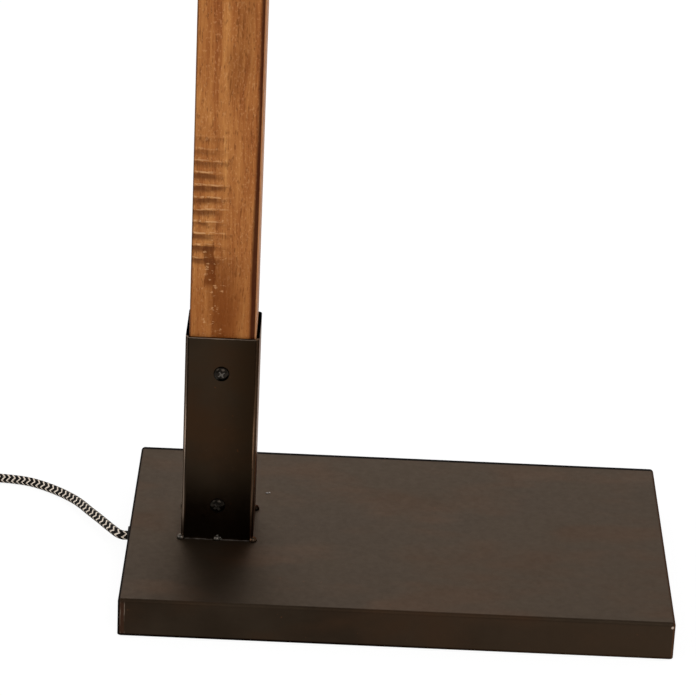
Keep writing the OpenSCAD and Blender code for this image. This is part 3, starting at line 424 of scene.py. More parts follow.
def softened(name, node, edge, coats, corner):
    """A copy of a solid with its sharp edges rounded; a second coat goes on the rounded edges."""
    shell = bmesh.new()
    shell.from_mesh(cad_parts[node].data)
    bmesh.ops.remove_doubles(shell, verts=shell.verts, dist=same_spot)
    bmesh.ops.dissolve_limit(shell, angle_limit=math.radians(0.5), verts=shell.verts, edges=shell.edges)
    shell.verts.index_update()
    mesh = bpy.data.meshes.new(name)
    faces = [[v.index for v in face.verts] for face in shell.faces]
    mesh.from_pydata([v.co.copy() for v in shell.verts], [], faces)
    shell.free()
    mesh.shade_smooth()
    for coat in coats:
        mesh.materials.append(coat)
    made = placed(name, mesh)
    soft = made.modifiers.new("edges", "BEVEL")
    soft.width = edge
    soft.segments = round_steps
    soft.limit_method = "ANGLE"
    soft.angle_limit = math.radians(corner)
    soft.material = len(coats) - 1
    bpy.context.view_layer.update()
    made.data = bpy.data.meshes.new_from_object(made.evaluated_get(bpy.context.evaluated_depsgraph_get()))
    made.modifiers.remove(soft)
    with opened(made.data) as shell:
        bmesh.ops.remove_doubles(shell, verts=shell.verts, dist=tiny)
        bmesh.ops.dissolve_degenerate(shell, edges=shell.edges, dist=tiny)
    made.data.name = name
    made.modifiers.new("flats", "WEIGHTED_NORMAL").keep_sharp = True
    return made


def eased(name, node, edge, coats, body, slot, corner=30):
    """A softened copy of a solid that rides on a body in the solid's place."""
    made = softened(name, node, edge, coats, corner)
    assigned(made, body, slot, node)
    return made


def recipe(name, takes):
    """An empty tree of geometry nodes, its named inputs, and what adds nodes to it."""
    tree = bpy.data.node_groups.new(name, "GeometryNodeTree")
    tree.interface.new_socket("Geometry", in_out="OUTPUT", socket_type="NodeSocketGeometry")
    tree.interface.new_socket("Geometry", in_out="INPUT", socket_type="NodeSocketGeometry")
    for label, kind in takes.items():
        tree.interface.new_socket(label, in_out="INPUT", socket_type="NodeSocket" + kind)
    return tree, put(tree, "NodeGroupInput").outputs, partial(wire, tree)


def serve(tree, geometry, finish, marked="", marked_finish=None):
    """Ends a tree: instances made real, the material set, and another one on the marked faces."""
    real = wire(tree, "GeometryNodeRealizeInstances", Geometry=geometry)
    done = wire(tree, "GeometryNodeSetMaterial", Geometry=real, Material=finish)
    if marked:
        chosen = wire(tree, "GeometryNodeInputNamedAttribute", {"data_type": "BOOLEAN"}, Name=marked)
        done = wire(tree, "GeometryNodeSetMaterial", Geometry=done, Selection=chosen, Material=marked_finish)
    put(tree, "NodeGroupOutput", Geometry=done)


def worked(name, tree, sizes, start):
    """Runs a tree on a mesh and keeps the result as a plain mesh."""
    maker = placed(name + "_maker", start)
    modifier = maker.modifiers.new("nodes", "NODES")
    modifier.node_group = tree
    for item in tree.interface.items_tree:
        if item.item_type == "SOCKET" and item.in_out == "INPUT" and item.name in sizes:
            modifier[item.identifier] = sizes[item.name]
    bpy.context.view_layer.update()
    mesh = bpy.data.meshes.new_from_object(maker.evaluated_get(bpy.context.evaluated_depsgraph_get()))
    maker.modifiers.remove(modifier)
    bpy.data.objects.remove(maker)
    mesh.name = name
    mesh.shade_smooth()
    return mesh


def grown(name, tree, sizes, places, body, slot, *nodes, smooth=35):
    """Runs a tree on points; the mesh rides on a body, in place of any nodes named."""
    points = bpy.data.meshes.new(name + "_points")
    points.from_pydata([tuple(p) for p in places], [], [])
    mesh = worked(name, tree, sizes, points)
    mesh.set_sharp_from_angle(angle=math.radians(smooth))
    made = placed(name, mesh)
    assigned(made, body, slot, *nodes)
    return made


def moulded(name, dark, light, rough, grain, **plain):
    """A moulded black: fine grain, faint clouding and a few shiny rubs."""
    made, shader, place = paint(name, **plain)
    gloss = graded(mottle(place, 0.006), 0.18, rough - 0.09)
    dress(shader, tint(mottle(place, 0.02), dark, light), gloss, mottle(place, grain), grain * 0.12)
    return made


plug_black = moulded("plug_black", (0.006, 0.006, 0.006, 1), (0.014, 0.013, 0.012, 1), 0.46, 0.0005,
                     Specular_IOR_Level=0.3)
plug = eased("plug_moulding", "plug_body", 0.0009, [plug_black], "stand", "plug_black", corner=40)
rib_tree, given, add = recipe("relief_ribs", {
    "Ribs": "Int", "First Radius": "Float", "Last Radius": "Float", "Rib": "Float", "Pitch": "Float",
    "Finish": "Material"})
rib_step = add("ShaderNodeCombineXYZ", X=times(given["Pitch"], -1.0))
rib_line = add("GeometryNodeMeshLine", Count=given["Ribs"], Start_Location=(0, 0, 0), Offset=rib_step)
rib_hoop = add("GeometryNodeCurvePrimitiveCircle", Resolution=40, Radius=1.0)
rib_thin = ratio(given["Rib"], given["First Radius"])
rib_round = add("GeometryNodeCurvePrimitiveCircle", Resolution=10, Radius=rib_thin)
rib_ring = add("GeometryNodeCurveToMesh", Curve=rib_hoop, Profile_Curve=rib_round)
rib_share = ratio(add("GeometryNodeInputIndex"), minus(given["Ribs"], 1.0))
rib_more = minus(given["Last Radius"], given["First Radius"])
rib_reach = plus(given["First Radius"], times(rib_share, rib_more))
rib_size = add("ShaderNodeCombineXYZ", X=rib_reach, Y=rib_reach, Z=rib_reach)
rib_turn = add("FunctionNodeEulerToRotation", n0=(0, math.pi / 2, 0))
rib_set = add("GeometryNodeInstanceOnPoints", Points=rib_line, Instance=rib_ring, Rotation=rib_turn,
              Scale=rib_size)
rib_base = add("GeometryNodeInstanceOnPoints", Points=given["Geometry"], Instance=rib_set)
serve(rib_tree, rib_base, given["Finish"])
rib_sizes = {"Ribs": 7, "First Radius": 0.0053, "Last Radius": 0.0076, "Rib": 0.0009, "Pitch": 0.0036,
             "Finish": plug_black}
rib_inset = 0.003
rib_start = plug_start + Vector((-rib_inset, 0, 0))
ribs = grown("plug_relief_ribs", rib_tree, rib_sizes, [rib_start], "stand", "plug_black")


# Brass: blades, contacts, bush and bulb cap are turned or stamped brass with a light tarnish.
# Drawing marks run along each piece and the high spots are rubbed brighter.
drawn_relief = 0.00003


def metal(name, dull, bright, rough, marks):
    """Bare metal with drawn marks and a mottled tarnish."""
    made, shader, place = paint(name, Metallic=1.0)
    tarnish = mottle(place, 0.012, detail=4.0)
    scratch = mottle(place, 0.0007, marks)
    colour = tint(soft_step(tarnish, 0.3, 0.7), dull, bright)
    gloss = plus(times(tarnish, 0.2), times(scratch, 0.2), rough - 0.2)
    dress(shader, colour, gloss, scratch, drawn_relief)
    return made


brass = metal("brass", (0.42, 0.27, 0.09, 1), (0.74, 0.52, 0.22, 1), 0.30, (1, 1, 0.08))
pins = eased("plug_blades", "plug_pins", 0.00035, [brass], "stand", "brass")


# Foot: a long shallow tray folded from 2 mm steel, corners welded and dressed, oiled dark brown.
# Painted shade darkens the back and left folds and the floor edge, and the right fold has a painted
# highlight.
# Painted highlights run down the upright corners, and one corner top has a painted glint.
def gap(value, spot):
    """How far a value is from a spot."""
    return absolute(minus(value, spot))


def effect(name, takes, gives):
    """A shared shader group, its inputs and its output node."""
    group = bpy.data.node_groups.new(name, "ShaderNodeTree")
    for label, kind in takes.items():
        group.interface.new_socket(label, in_out="INPUT", socket_type="NodeSocket" + kind)
    for label, kind in gives.items():
        group.interface.new_socket(label, in_out="OUTPUT", socket_type="NodeSocket" + kind)
    return group, group.nodes.new("NodeGroupInput").outputs, group.nodes.new("NodeGroupOutput")


def use(group, **sockets):
    return put(tree_of(sockets.values()), "ShaderNodeGroup", {"node_tree": group}, **sockets).outputs


smoky_oil, given, gives = effect(
    "smoky_oil", {"Place": "Vector", "Deep": "Color", "Pale": "Color", "Warm": "Color"},
    {"Colour": "Color", "Roughness": "Float", "Height": "Float"})
cloud = mottle(given["Place"], 0.07, detail=4.0)
drift = mottle(given["Place"], 0.045, (0.6, 1.3, 1.0), 3.0)
fine = mottle(given["Place"], 0.004, detail=5.0)
peel = mottle(given["Place"], 0.0009)
toned = tint(soft_step(cloud, 0.3, 0.7), given["Deep"], given["Pale"])
toned = tint(soft_step(drift, 0.45, 0.72), toned, given["Warm"])
speck = soft_step(mottle(given["Place"], 0.003, detail=1.0), 0.77, 0.82)
toned = tint(speck, toned, (0.075, 0.030, 0.012, 1), 0.7)
sheen = plus(times(cloud, 0.16), times(fine, 0.14), 0.25)
feed(gives, Colour=toned, Roughness=sheen, Height=plus(times(fine, 0.5), peel))

oil = {"Deep": (0.019, 0.0118, 0.0066, 1), "Pale": (0.030, 0.0200, 0.0122, 1),
       "Warm": (0.033, 0.0172, 0.0086, 1)}
oil_edge, rub_and_glint_tone, shade_black = (0.92, 0.82, 0.74, 1), (0.20, 0.15, 0.115, 1), (0.004, 0.002, 0.001, 1)
oil_relief = 0.00002

tray_low, tray_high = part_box("base_tray")
post_low, post_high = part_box("post")
sleeve = 0.0025
tray_half = (tray_high - tray_low) / 2
tray_steel, shader, place = paint("tray_steel", Metallic=0.8, Specular_IOR_Level=0.2)
coat = use(smoky_oil, Place=place, **oil)
inset = axes(vectors("SUBTRACT", tuple(tray_half), vectors("ABSOLUTE", place)))
along, across, upright = axes(place)
right_shift = times(soft_step(along, 0.0, 0.01), 0.0036)
from_corner = plus(highest(plus(inset[0], right_shift), inset[1]), waver(place, 0.009, 0.0012))
below_top = soft_step(upright, tray_high.z - 0.0012, tray_high.z - 0.0035)
dressed = times(soft_step(from_corner, 0.0052, 0.0044), below_top)
colour = tint(dressed, coat["Colour"], (0.045, 0.018, 0.009, 1), 0.6)
# Painted highlights: two broken light lines down each upright corner, beside the dressed weld.
for glint_inset, width, strength in ((0.0021, 0.0006, 0.5), (0.0050, 0.0004, 0.65)):
    broken = soft_step(mottle(place, 0.006, (1, 1, 0.5)), 0.35, 0.6)
    line = times(soft_step(gap(from_corner, glint_inset), width, width * 0.4), below_top, broken)
    colour = tint(line, colour, rub_and_glint_tone, strength)
# Painted shade along the floor edge of every wall.
floor_edge_shade = soft_step(minus(upright, tray_low.z), 0.0022, 0.0012)
colour = tint(floor_edge_shade, colour, shade_black)
paler = times(soft_step(along, -0.08, 0.16), below_top)
colour = tint(paler, colour, (0.046, 0.027, 0.015, 1), 0.5)
at_top = minus(1.0, below_top)
at_front = soft_step(across, tray_low.y + 0.005, tray_low.y + 0.002)
# Painted shade on the back and left folds where they turn away; a painted highlight on the right fold.
back_fold_shade = times(soft_step(across, tray_high.y - 0.0064, tray_high.y - 0.0050), at_top)
left_fold_shade = times(soft_step(along, tray_low.x + 0.0020, tray_low.x + 0.0011), highest(at_top, at_front))
right_fold_highlight = times(soft_step(along, tray_high.x - 0.0021, tray_high.x - 0.0012), highest(at_top, at_front))
fold_shade = highest(back_fold_shade, left_fold_shade)
colour = tint(fold_shade, colour, shade_black)
colour = tint(right_fold_highlight, colour, (0.085, 0.036, 0.014, 1), 0.8)
# Painted highlight: a small bright spot at the top of the front right corner.
corner_glint = put(shader.id_data, "ShaderNodeVectorMath", {"operation": "DISTANCE"}, n0=place,
            n1=(tray_high.x - 0.0022, tray_low.y, tray_high.z - 0.0034)).outputs["Value"]
colour = tint(soft_step(corner_glint, 0.0014, 0.0006), colour, (0.46, 0.36, 0.29, 1))
joint = times(soft_step(gap(across, post_low.y - sleeve - 0.0008), 0.0011, 0.0005),
              soft_step(gap(along, (post_low.x + post_high.x) / 2), 0.026, 0.022),
              soft_step(mottle(place, 0.006), 0.25, 0.6))
colour = tint(joint, colour, (0.42, 0.37, 0.33, 1), 0.42)
# The painted shade and highlight bands also dull the reflection's tint.
fold_shade_and_highlight = highest(fold_shade, right_fold_highlight, floor_edge_shade)
feed(shader, Specular_Tint=tint(fold_shade_and_highlight, oil_edge, (0.04, 0.025, 0.015, 1)))
dress(shader, colour, plus(coat["Roughness"], 0.14), coat["Height"], oil_relief)
eased("foot_tray", "base_tray", 0.0003, [tray_steel], "stand", "foot_steel", corner=50)


# Under the foot: a zinc-plated cover on four pillars, the iron ballast on its studs, and a felt pad.
# The felt is pressed wool glued to the cover, with holes for the cover's screws.
zinc = metal("bare_steel", (0.30, 0.30, 0.31, 1), (0.56, 0.56, 0.57, 1), 0.34, (0.1, 1, 1))
iron, shader, place = paint("ballast_iron", Metallic=0.8)
sand = mottle(place, 0.0012, detail=5.0)
colour = tint(mottle(place, 0.03), (0.050, 0.048, 0.047, 1), (0.105, 0.098, 0.092, 1))
dress(shader, colour, graded(sand, 0.2, 0.55), sand, 0.0003)


def coated(coat, *nodes):
    """A coat on solids that are shown as they are."""
    for node in nodes:
        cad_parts[node].data.materials.clear()
        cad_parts[node].data.materials.append(coat)


coated(zinc, "cover_pillars", "base_cover", "cover_screws", "ballast_studs", "ballast_nuts", "clamp_studs",
       "clamp_nuts")
coated(iron, "ballast_plate")
coated(plug_black, "cord_clamp")

wool, shader, place = paint("felt", Sheen_Weight=0.12, Sheen_Roughness=0.7, Specular_IOR_Level=0.25)
fuzz = mottle(place, 0.0009, detail=6.0)
clump = mottle(place, 0.006, detail=3.0)
colour = tint(fuzz, (0.006, 0.006, 0.006, 1), (0.035, 0.032, 0.030, 1))
colour = tint(clump, colour, (0.018, 0.016, 0.015, 1), 0.5)
dress(shader, colour, graded(fuzz, 0.1, 0.86), fuzz, 0.0005)
felt = eased("felt_pad", "floor_pad", 0.0008, [wool], "stand", "felt")


# Socket: a square sleeve folded from the same sheet, tacked to the foot by five small welds.
# The welds are rippled beads; the front one is left grey where the oil didn't take.
lowest = partial(sums, "MINIMUM")
edge_rub, given, gives = effect(
    "edge_rub", {"Place": "Vector", "Middle": "Vector", "Half": "Vector", "Reach": "Float", "Cover": "Float"},
    {"Mask": "Float"})
offset = vectors("ABSOLUTE", vectors("SUBTRACT", given["Place"], given["Middle"]))
inset = axes(vectors("SUBTRACT", given["Half"], offset))
second = highest(lowest(inset[0], inset[1]), lowest(highest(inset[0], inset[1]), inset[2]))
near = minus(1.0, ratio(second, given["Reach"]))
patchy = mottle(given["Place"], 0.007, detail=5.0)
worn = plus(near, minus(patchy, given["Cover"]))
feed(gives, Mask=soft_step(worn, 0.35, 0.75))
foot_fade = 0.004


def oiled_steel(name, middle=None, half=None, reach=0.002, cover=0.55, polish=0.0, foot=0.0):
    """The dark oiled finish; with a middle and half size, its edges are rubbed too, but not near its foot."""
    made, shader, place = paint(name, Metallic=1.0, Specular_Tint=oil_edge)
    coat = use(smoky_oil, Place=place, **oil)
    colour = coat["Colour"]
    if half:
        rub = use(edge_rub, Place=place, Middle=middle, Half=half, Reach=reach, Cover=cover)["Mask"]
        colour = tint(times(rub, soft_step(axes(place)[2], foot, foot + foot_fade)), colour, rub_and_glint_tone)
    dress(shader, colour, minus(coat["Roughness"], polish), coat["Height"], oil_relief)
    return made


worn_edge, shader, place = paint("worn_edge", Metallic=1.0, Specular_Tint=oil_edge)
coat = use(smoky_oil, Place=place, Deep=(0.035, 0.023, 0.014, 1), Pale=(0.20, 0.15, 0.11, 1),
           Warm=(0.07, 0.04, 0.022, 1))
dress(shader, coat["Colour"], coat["Roughness"], coat["Height"], oil_relief)

socket_low, socket_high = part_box("post_socket")
socket_mid = Vector(((post_low.x + post_high.x) / 2, 0, (socket_low.z + socket_high.z) / 2))
socket_half = Vector(((post_high.x - post_low.x) / 2 + sleeve, (post_high.y - post_low.y) / 2 + sleeve,
                      (socket_high.z - socket_low.z) / 2))
rub_reach, rub_cover, socket_polish, weld_height = 0.0012, 0.62, 0.10, 0.003
socket_steel = oiled_steel("socket_steel", tuple(socket_mid), tuple(socket_half), rub_reach, rub_cover,
                           socket_polish, socket_low.z + weld_height)
shader = socket_steel.node_tree.nodes["Principled BSDF"]
rubbed_coat = shader.inputs["Base Color"].links[0].from_socket
along, across, upright = axes(put(socket_steel.node_tree, "ShaderNodeTexCoord").outputs["Object"])
socket_right = socket_mid.x + socket_half.x
# Painted shade: the socket's front grows darker towards its right side.
right_shade = soft_step(along, socket_mid.x - 0.006, socket_right + 0.002)
colour = tint(right_shade, rubbed_coat, (0.007, 0.0045, 0.002, 1), 0.62)
# Painted reflection: the right side is lighter and warmer, with a tan reflection tint.
socket_right_sheen = soft_step(along, socket_right - 0.0010, socket_right - 0.0002)
cut_end = times(soft_step(upright, socket_high.z - 0.0010, socket_high.z - 0.0003),
                soft_step(across, 0.0030 - socket_half.y, 0.0045 - socket_half.y))
side_reflection_tint = tint(cut_end, tint(socket_right_sheen, oil_edge, (0.50, 0.34, 0.23, 1)), (0.06, 0.04, 0.03, 1))
colour = tint(socket_right_sheen, colour, (0.042, 0.027, 0.017, 1))
beyond = highest(minus(gap(along, socket_mid.x), socket_half.x), minus(absolute(across), socket_half.y))
tack = times(soft_step(beyond, 0.0001, 0.0004),
             soft_step(upright, socket_low.z + 0.0045, socket_low.z + 0.0035))
bare_tack = times(tack, soft_step(across, 0.0, -0.005),
                  soft_step(along, socket_mid.x + 0.016, socket_mid.x + 0.012))
black_tack = times(tack, soft_step(across, 0.0, 0.005))
colour = tint(bare_tack, colour, (0.085, 0.077, 0.068, 1), 0.7)
colour = tint(black_tack, colour, (0.004, 0.003, 0.002, 1), 0.9)
# Painted highlights: a pale line down the front's left bend and a tan one down its right bend.
on_front = soft_step(across, 0.0022 - socket_half.y, 0.0014 - socket_half.y)
for spot, width, tone, strength in ((-socket_half.x + 0.0014, 0.0007, (0.17, 0.125, 0.095, 1), 0.75),
                                    (socket_half.x - 0.0017, 0.0009, (0.10, 0.056, 0.032, 1), 0.85)):
    line = times(soft_step(gap(along, socket_mid.x + spot), width, width * 0.3), on_front)
    colour = tint(line, colour, tone, strength)
feed(shader, Base_Color=tint(cut_end, colour, (0.005, 0.0035, 0.002, 1)), Specular_Tint=side_reflection_tint)
eased("socket_sleeve", "post_socket", 0.0003, [socket_steel, worn_edge], "stand", "foot_steel", corner=50)

weld_dark = metal("weld_dark", (0.004, 0.003, 0.002, 1), (0.020, 0.014, 0.010, 1), 0.62, (1, 1, 1))
weld_grey = metal("weld_grey", (0.050, 0.045, 0.040, 1), (0.300, 0.270, 0.240, 1), 0.40, (1, 1, 1))
bead_tree, given, add = recipe("weld_beads", {
    "Bead": "Float", "Squash": "Float", "Ripple": "Float", "Seed": "Int", "Finish": "Material"})
smallest, lump_scale = 0.75, 900.0
drop = add("GeometryNodeMeshIcoSphere", Radius=1.0, Subdivisions=4)
random = put(bead_tree, "FunctionNodeRandomValue", {"data_type": "FLOAT"}, n2=times(given["Bead"], smallest),
             n3=given["Bead"], Seed=given["Seed"]).outputs[1]
drop_size = add("ShaderNodeCombineXYZ", X=random, Y=random, Z=times(random, given["Squash"]))
set_drops = add("GeometryNodeInstanceOnPoints", Points=given["Geometry"], Instance=drop, Scale=drop_size)
solid_drops = add("GeometryNodeRealizeInstances", Geometry=set_drops)
here = add("GeometryNodeInputPosition")
lumps = add("ShaderNodeTexNoise", Vector=here, Scale=lump_scale, Detail=2.0)
amount = times(minus(lumps, 0.5), given["Ripple"])
push = vectors("SCALE", add("GeometryNodeInputNormal"), Scale=amount)
pushed = add("GeometryNodeSetPosition", Geometry=solid_drops, Offset=push)
serve(bead_tree, pushed, given["Finish"])
tack_places = []
for across, along, low in ((-1, -1, 0.0003), (1, -1, 0.0003), (-1, 1, -0.0006), (1, 1, -0.0006)):
    foot = Vector((socket_mid.x + across * socket_half.x, along * socket_half.y, socket_low.z + low))
    for step in ((-0.001, 0.0004 * along, 0), (0.0009, 0.0003 * along, 0.0004)):
        tack_places.append(foot + Vector(step))
lump_places = [(socket_mid.x + 0.0008 + x, -socket_half.y - 0.0004, socket_low.z + z) for x, z in (
    (-0.0021, 0.0002), (-0.0007, 0.0005), (0.0009, 0.0003), (0.0023, 0.0002),
    (-0.0011, 0.0017), (0.0004, 0.0020), (0.0015, 0.0014), (-0.0002, 0.0031))]
spatter_spots = ((0.0345, 0.0525), (0.0362, 0.0532))
spatter_places = [(socket_mid.x + x, y, tray_high.z + 0.0001) for x, y in spatter_spots]
for name, finish, places, bead, squash, ripple, seed in (
        ("corner_welds", weld_dark, tack_places, 0.0012, 0.7, 0.0008, 4),
        ("front_weld", weld_grey, lump_places, 0.0013, 0.8, 0.0010, 4),
        ("weld_spatter", weld_grey, spatter_places, 0.0012, 0.35, 0.0005, 9)):
    bead_sizes = {"Bead": bead, "Squash": squash, "Ripple": ripple, "Seed": seed, "Finish": finish}
    grown(name, bead_tree, bead_sizes, places, "stand", "foot_steel", smooth=80)


# Post: a length of brown hardwood, planed square with its long edges eased and oiled.
# Saw marks are cut across part of the front, and its two front edges are darker.
timber_grain, given, gives = effect(
    "timber_grain", {"Along": "Vector"}, {"Colour": "Color", "Roughness": "Float", "Height": "Float"})
grain_scale, grain_wander, timber_relief = 9.0, 0.010, 0.00012
wander = put(timber_grain, "ShaderNodeTexNoise", Vector=given["Along"], Scale=grain_scale, Detail=2.0)
wander = vectors("SUBTRACT", wander.outputs["Color"], (0.5, 0.5, 0.5))
bent = vectors("ADD", given["Along"], vectors("SCALE", wander, Scale=grain_wander))
broad = mottle(bent, 0.022, (1, 1, 0.10), 3.0)
streak = mottle(bent, 0.006, (1, 1, 0.035), 4.0)
fibre = mottle(bent, 0.0011, (1, 1, 0.045), 3.0)
pore = soft_step(mottle(bent, 0.0011, (1, 1, 0.18), 2.0), 0.58, 0.68)
fleck = soft_step(mottle(bent, 0.0012, (1, 1, 0.55), 2.0), 0.56, 0.68)
tone = plus(times(broad, 0.45), times(streak, 0.35), times(fibre, 0.20))
ramp = put(timber_grain, "ShaderNodeValToRGB", Fac=tone)
for spot, colour in ((0.38, (0.21, 0.056, 0.013, 1)), (0.46, (0.315, 0.108, 0.027, 1)),
                     (0.53, (0.395, 0.153, 0.041, 1)), (0.61, (0.50, 0.220, 0.064, 1))):
    ramp.color_ramp.elements.new(spot).color = colour
for end in (0, -1):
    ramp.color_ramp.elements.remove(ramp.color_ramp.elements[end])
wood = tint(pore, ramp.outputs[0], (0.11, 0.028, 0.006, 1), 0.5)
wood = tint(fleck, wood, (0.60, 0.30, 0.12, 1), 0.32)
dull = plus(times(fibre, 0.16), times(pore, 0.2), 0.42)
feed(gives, Colour=wood, Roughness=dull, Height=minus(times(fibre, 0.8), pore))

saw_pitch, saw_low, saw_high = 0.00928, 0.2455, 0.364


def saw_marks(place):
    """Ridges and grooves left by a coarse saw on the lower front, for the colour and the relief alike."""
    split = axes(place)
    face = wire(place.id_data, "ShaderNodeCombineXYZ", X=split[0], Y=post_low.y, Z=split[2])
    level = split[2]
    for blots, amount in ((0.018, 0.0030), (0.0035, 0.0018)):
        level = plus(level, waver(face, blots, amount, (0.5, 1, 1)))
    tooth = sums("FRACT", minus(ratio(level, saw_pitch), 0.42))
    span = between(split[2], saw_low, saw_low + 0.006, saw_high - 0.055, saw_high)
    side = plus(split[0], waver(face, 0.0045, 0.040, (0.25, 1, 1), 4.0))
    patch = times(span, soft_step(side, post_low.x + 0.031, post_low.x + 0.007),
                  soft_step(split[1], post_low.y + 0.003, post_low.y + 0.001))
    uneven = soft_step(mottle(face, 0.005, (0.35, 1, 0.6), 5.0), 0.22, 0.55)
    torn = soft_step(mottle(face, 0.0015, (0.45, 1, 1.2), 5.0), 0.42, 0.57)
    return [times(between(tooth, *spans), share, patch)
            for share, *spans in ((torn, 0.0, 0.03, 0.10, 0.21), (uneven, 0.30, 0.74, 0.93, 1.0))]


post_wood, shader, place = paint("post_timber", IOR=1.15)
coat = use(timber_grain, Along=place)
split = axes(place)
front = soft_step(split[1], post_low.y + 0.003, post_low.y + 0.001)
ridge, groove = saw_marks(place)
colour = coat["Colour"]
blot = waver(place, 0.006, 0.011, (1, 1, 0.35), 5.0)
blot_x = minus(plus(split[0], blot), post_low.x)
figure = soft_step(mottle(place, 0.0022, (1, 1, 0.10), 4.0), 0.16, 0.56)
figure = times(graded(figure, 0.5, 0.55), front)
for left, left_fade, right, right_fade, low, high, fade, depth in (
        (0.0160, 0.0015, 0.0200, 0.028, 0.100, 0.250, 0.012, 0.45),
        (0.0160, 0.0015, 0.0200, 0.022, 0.100, 0.205, 0.055, 0.66),
        (0.0095, 0.0020, 0.0170, 0.002, 0.236, 0.262, 0.006, 0.80),
        (0.0120, 0.0030, 0.0165, 0.003, 0.215, 0.240, 0.015, 0.35),
        (0.0295, 0.0040, 0.0375, 0.006, 0.405, 0.560, 0.030, 0.30),
        (0.0225, 0.0040, 0.0290, 0.006, 0.384, 0.408, 0.012, 0.28)):
    stain = between(blot_x, left - left_fade / 2, left + left_fade / 2, right, right + right_fade)
    stain = times(stain, between(split[2], low - fade, low, high, high + fade), figure)
    colour = tint(stain, colour, (0.115, 0.026, 0.003, 1), depth)
foot_dirt = soft_step(plus(split[2], blot), 0.262, 0.215)
colour = tint(foot_dirt, colour, (0.20, 0.052, 0.007, 1), 0.42)
# Painted shade in the saw marks' grooves and painted highlights on their ridges.
colour = tint(groove, colour, (0.090, 0.024, 0.005, 1), 0.80)
colour = tint(ridge, colour, (0.60, 0.32, 0.14, 1), 0.8)
chip = times(soft_step(mottle(place, 0.0022, (0.6, 1, 1), 4.0), 0.60, 0.69),
             soft_step(gap(blot_x, 0.0165), 0.011, 0.006),
             soft_step(gap(split[2], 0.246), 0.064, 0.040), front)
colour = tint(chip, colour, (0.56, 0.30, 0.13, 1), 0.6)
wave = waver(place, 0.02, 0.0022, (1, 1, 0.3))
edge_x = plus(split[0], wave)
band_x = plus(edge_x, times(soft_step(split[2], 0.40, 0.20), 0.0016))
# The front edges are darker, the right one in a band that widens downwards.
right_edge_dark = times(soft_step(band_x, post_high.x - 0.0050, post_high.x - 0.0022),
                  soft_step(split[0], post_high.x - 0.0009, post_high.x - 0.0015),
                  soft_step(split[1], post_low.y + 0.0017, post_low.y + 0.0009))
left_edge_dark = times(soft_step(edge_x, post_low.x + 0.0016, post_low.x + 0.0006), 0.7)
colour = tint(highest(right_edge_dark, left_edge_dark), colour, (0.034, 0.005, 0.0005, 1), 0.92)
# Painted highlight: a pale tan sheen along the right side next to the front edge.
arris = times(soft_step(split[0], post_high.x - 0.0013, post_high.x - 0.0008),
              soft_step(plus(split[1], times(wave, 6.0)), post_low.y + 0.034, post_low.y + 0.002))
colour = tint(arris, colour, (0.50, 0.25, 0.125, 1), 0.55)
torn_up = times(mottle(place, 0.0010, (0.5, 1, 1), 4.0), plus(ridge, groove))
height = plus(coat["Height"], times(minus(ridge, groove), 0.4), times(torn_up, 3.0))
dress(shader, colour, coat["Roughness"], height, timber_relief)

post = softened("timber_post", "post", 0.0006, [post_wood], 50)
post.modifiers.remove(post.modifiers["flats"])
row, column, arris_depth, face_depth, cut_reach = 0.0005, 0.001, 0.00055, 0.00005, 1e-7
row_count = round((saw_high - saw_low) / row) + 3
rows = [(saw_low - row + row * k, Vector((0, 0, 1)), arris_depth) for k in range(row_count)]
column_count = round((post_high.x - post_low.x) / column)
columns = [(post_low.x + column * k, Vector((1, 0, 0)), face_depth) for k in range(1, column_count)]
first_row, last_row = rows[0][0] - same_spot, rows[-1][0] + same_spot
with opened(post.data) as shell:
    for spot, facing, depth in rows + columns:
        band = [face for face in shell.faces if all(v.co.y < post_low.y + depth for v in face.verts)
                and (facing.z or first_row < face.calc_center_median().z < last_row)]
        edges, corners = {e for face in band for e in face.edges}, {v for face in band for v in face.verts}
        band += [*edges, *corners]
        bmesh.ops.bisect_plane(shell, geom=band, dist=cut_reach, plane_co=facing * spot, plane_no=facing)
carve_tree, given, add = recipe("saw_relief", {"Depth": "Float", "Finish": "Material"})
here = add("GeometryNodeInputPosition")
high_mark, low_mark = saw_marks(here)
saw_depth, ridge_share = 0.00034, 0.3
sunk = times(minus(low_mark, times(high_mark, ridge_share)),
             soft_step(axes(here)[1], post_low.y + 0.0005, post_low.y + 0.0001))
push = add("ShaderNodeCombineXYZ", Y=times(sunk, given["Depth"]))
carved = add("GeometryNodeSetPosition", Geometry=given["Geometry"], Offset=push)
serve(carve_tree, carved, given["Finish"])
post.data = worked("timber_post", carve_tree, {"Depth": saw_depth, "Finish": post_wood}, post.data)
post.modifiers.new("flats", "WEIGHTED_NORMAL").keep_sharp = True
assigned(post, "stand", "timber", "post")


# Screws: black domed wood screws with a cross recess, two through the socket's front into the post.
# The heads are oxide black and glossy, and the driver has polished the recess.
black_screw = metal("screw_black", (0.006, 0.005, 0.004, 1), (0.024, 0.019, 0.015, 1), 0.24, (1, 1, 1))
recess_steel = metal("recess_steel", (0.010, 0.008, 0.006, 1), (0.12, 0.105, 0.09, 1), 0.3, (1, 1, 1))
screw_tree, given, add = recipe("domed_screw", {
    "Head": "Float", "Height": "Float", "Slot Length": "Float", "Slot Width": "Float", "Slot Depth": "Float",
    "Spin": "Float", "Turn": "Vector", "Finish": "Material", "Recess Finish": "Material"})
ball = add("GeometryNodeMeshUVSphere", Segments=48, Rings=24, Radius=0.5)
ball_size = add("ShaderNodeCombineXYZ", X=given["Head"], Y=given["Head"], Z=times(given["Height"], 2.0))
head = add("GeometryNodeTransform", Geometry=ball, Scale=ball_size)
cutter, cutter_z, recess_reach, recess_rise = 0.05, -0.0253, 0.9, 0.0001
block = add("GeometryNodeMeshCube", Size=(cutter, cutter, cutter))
below = add("GeometryNodeTransform", Geometry=block, Translation=(0, 0, cutter_z))
slots = []
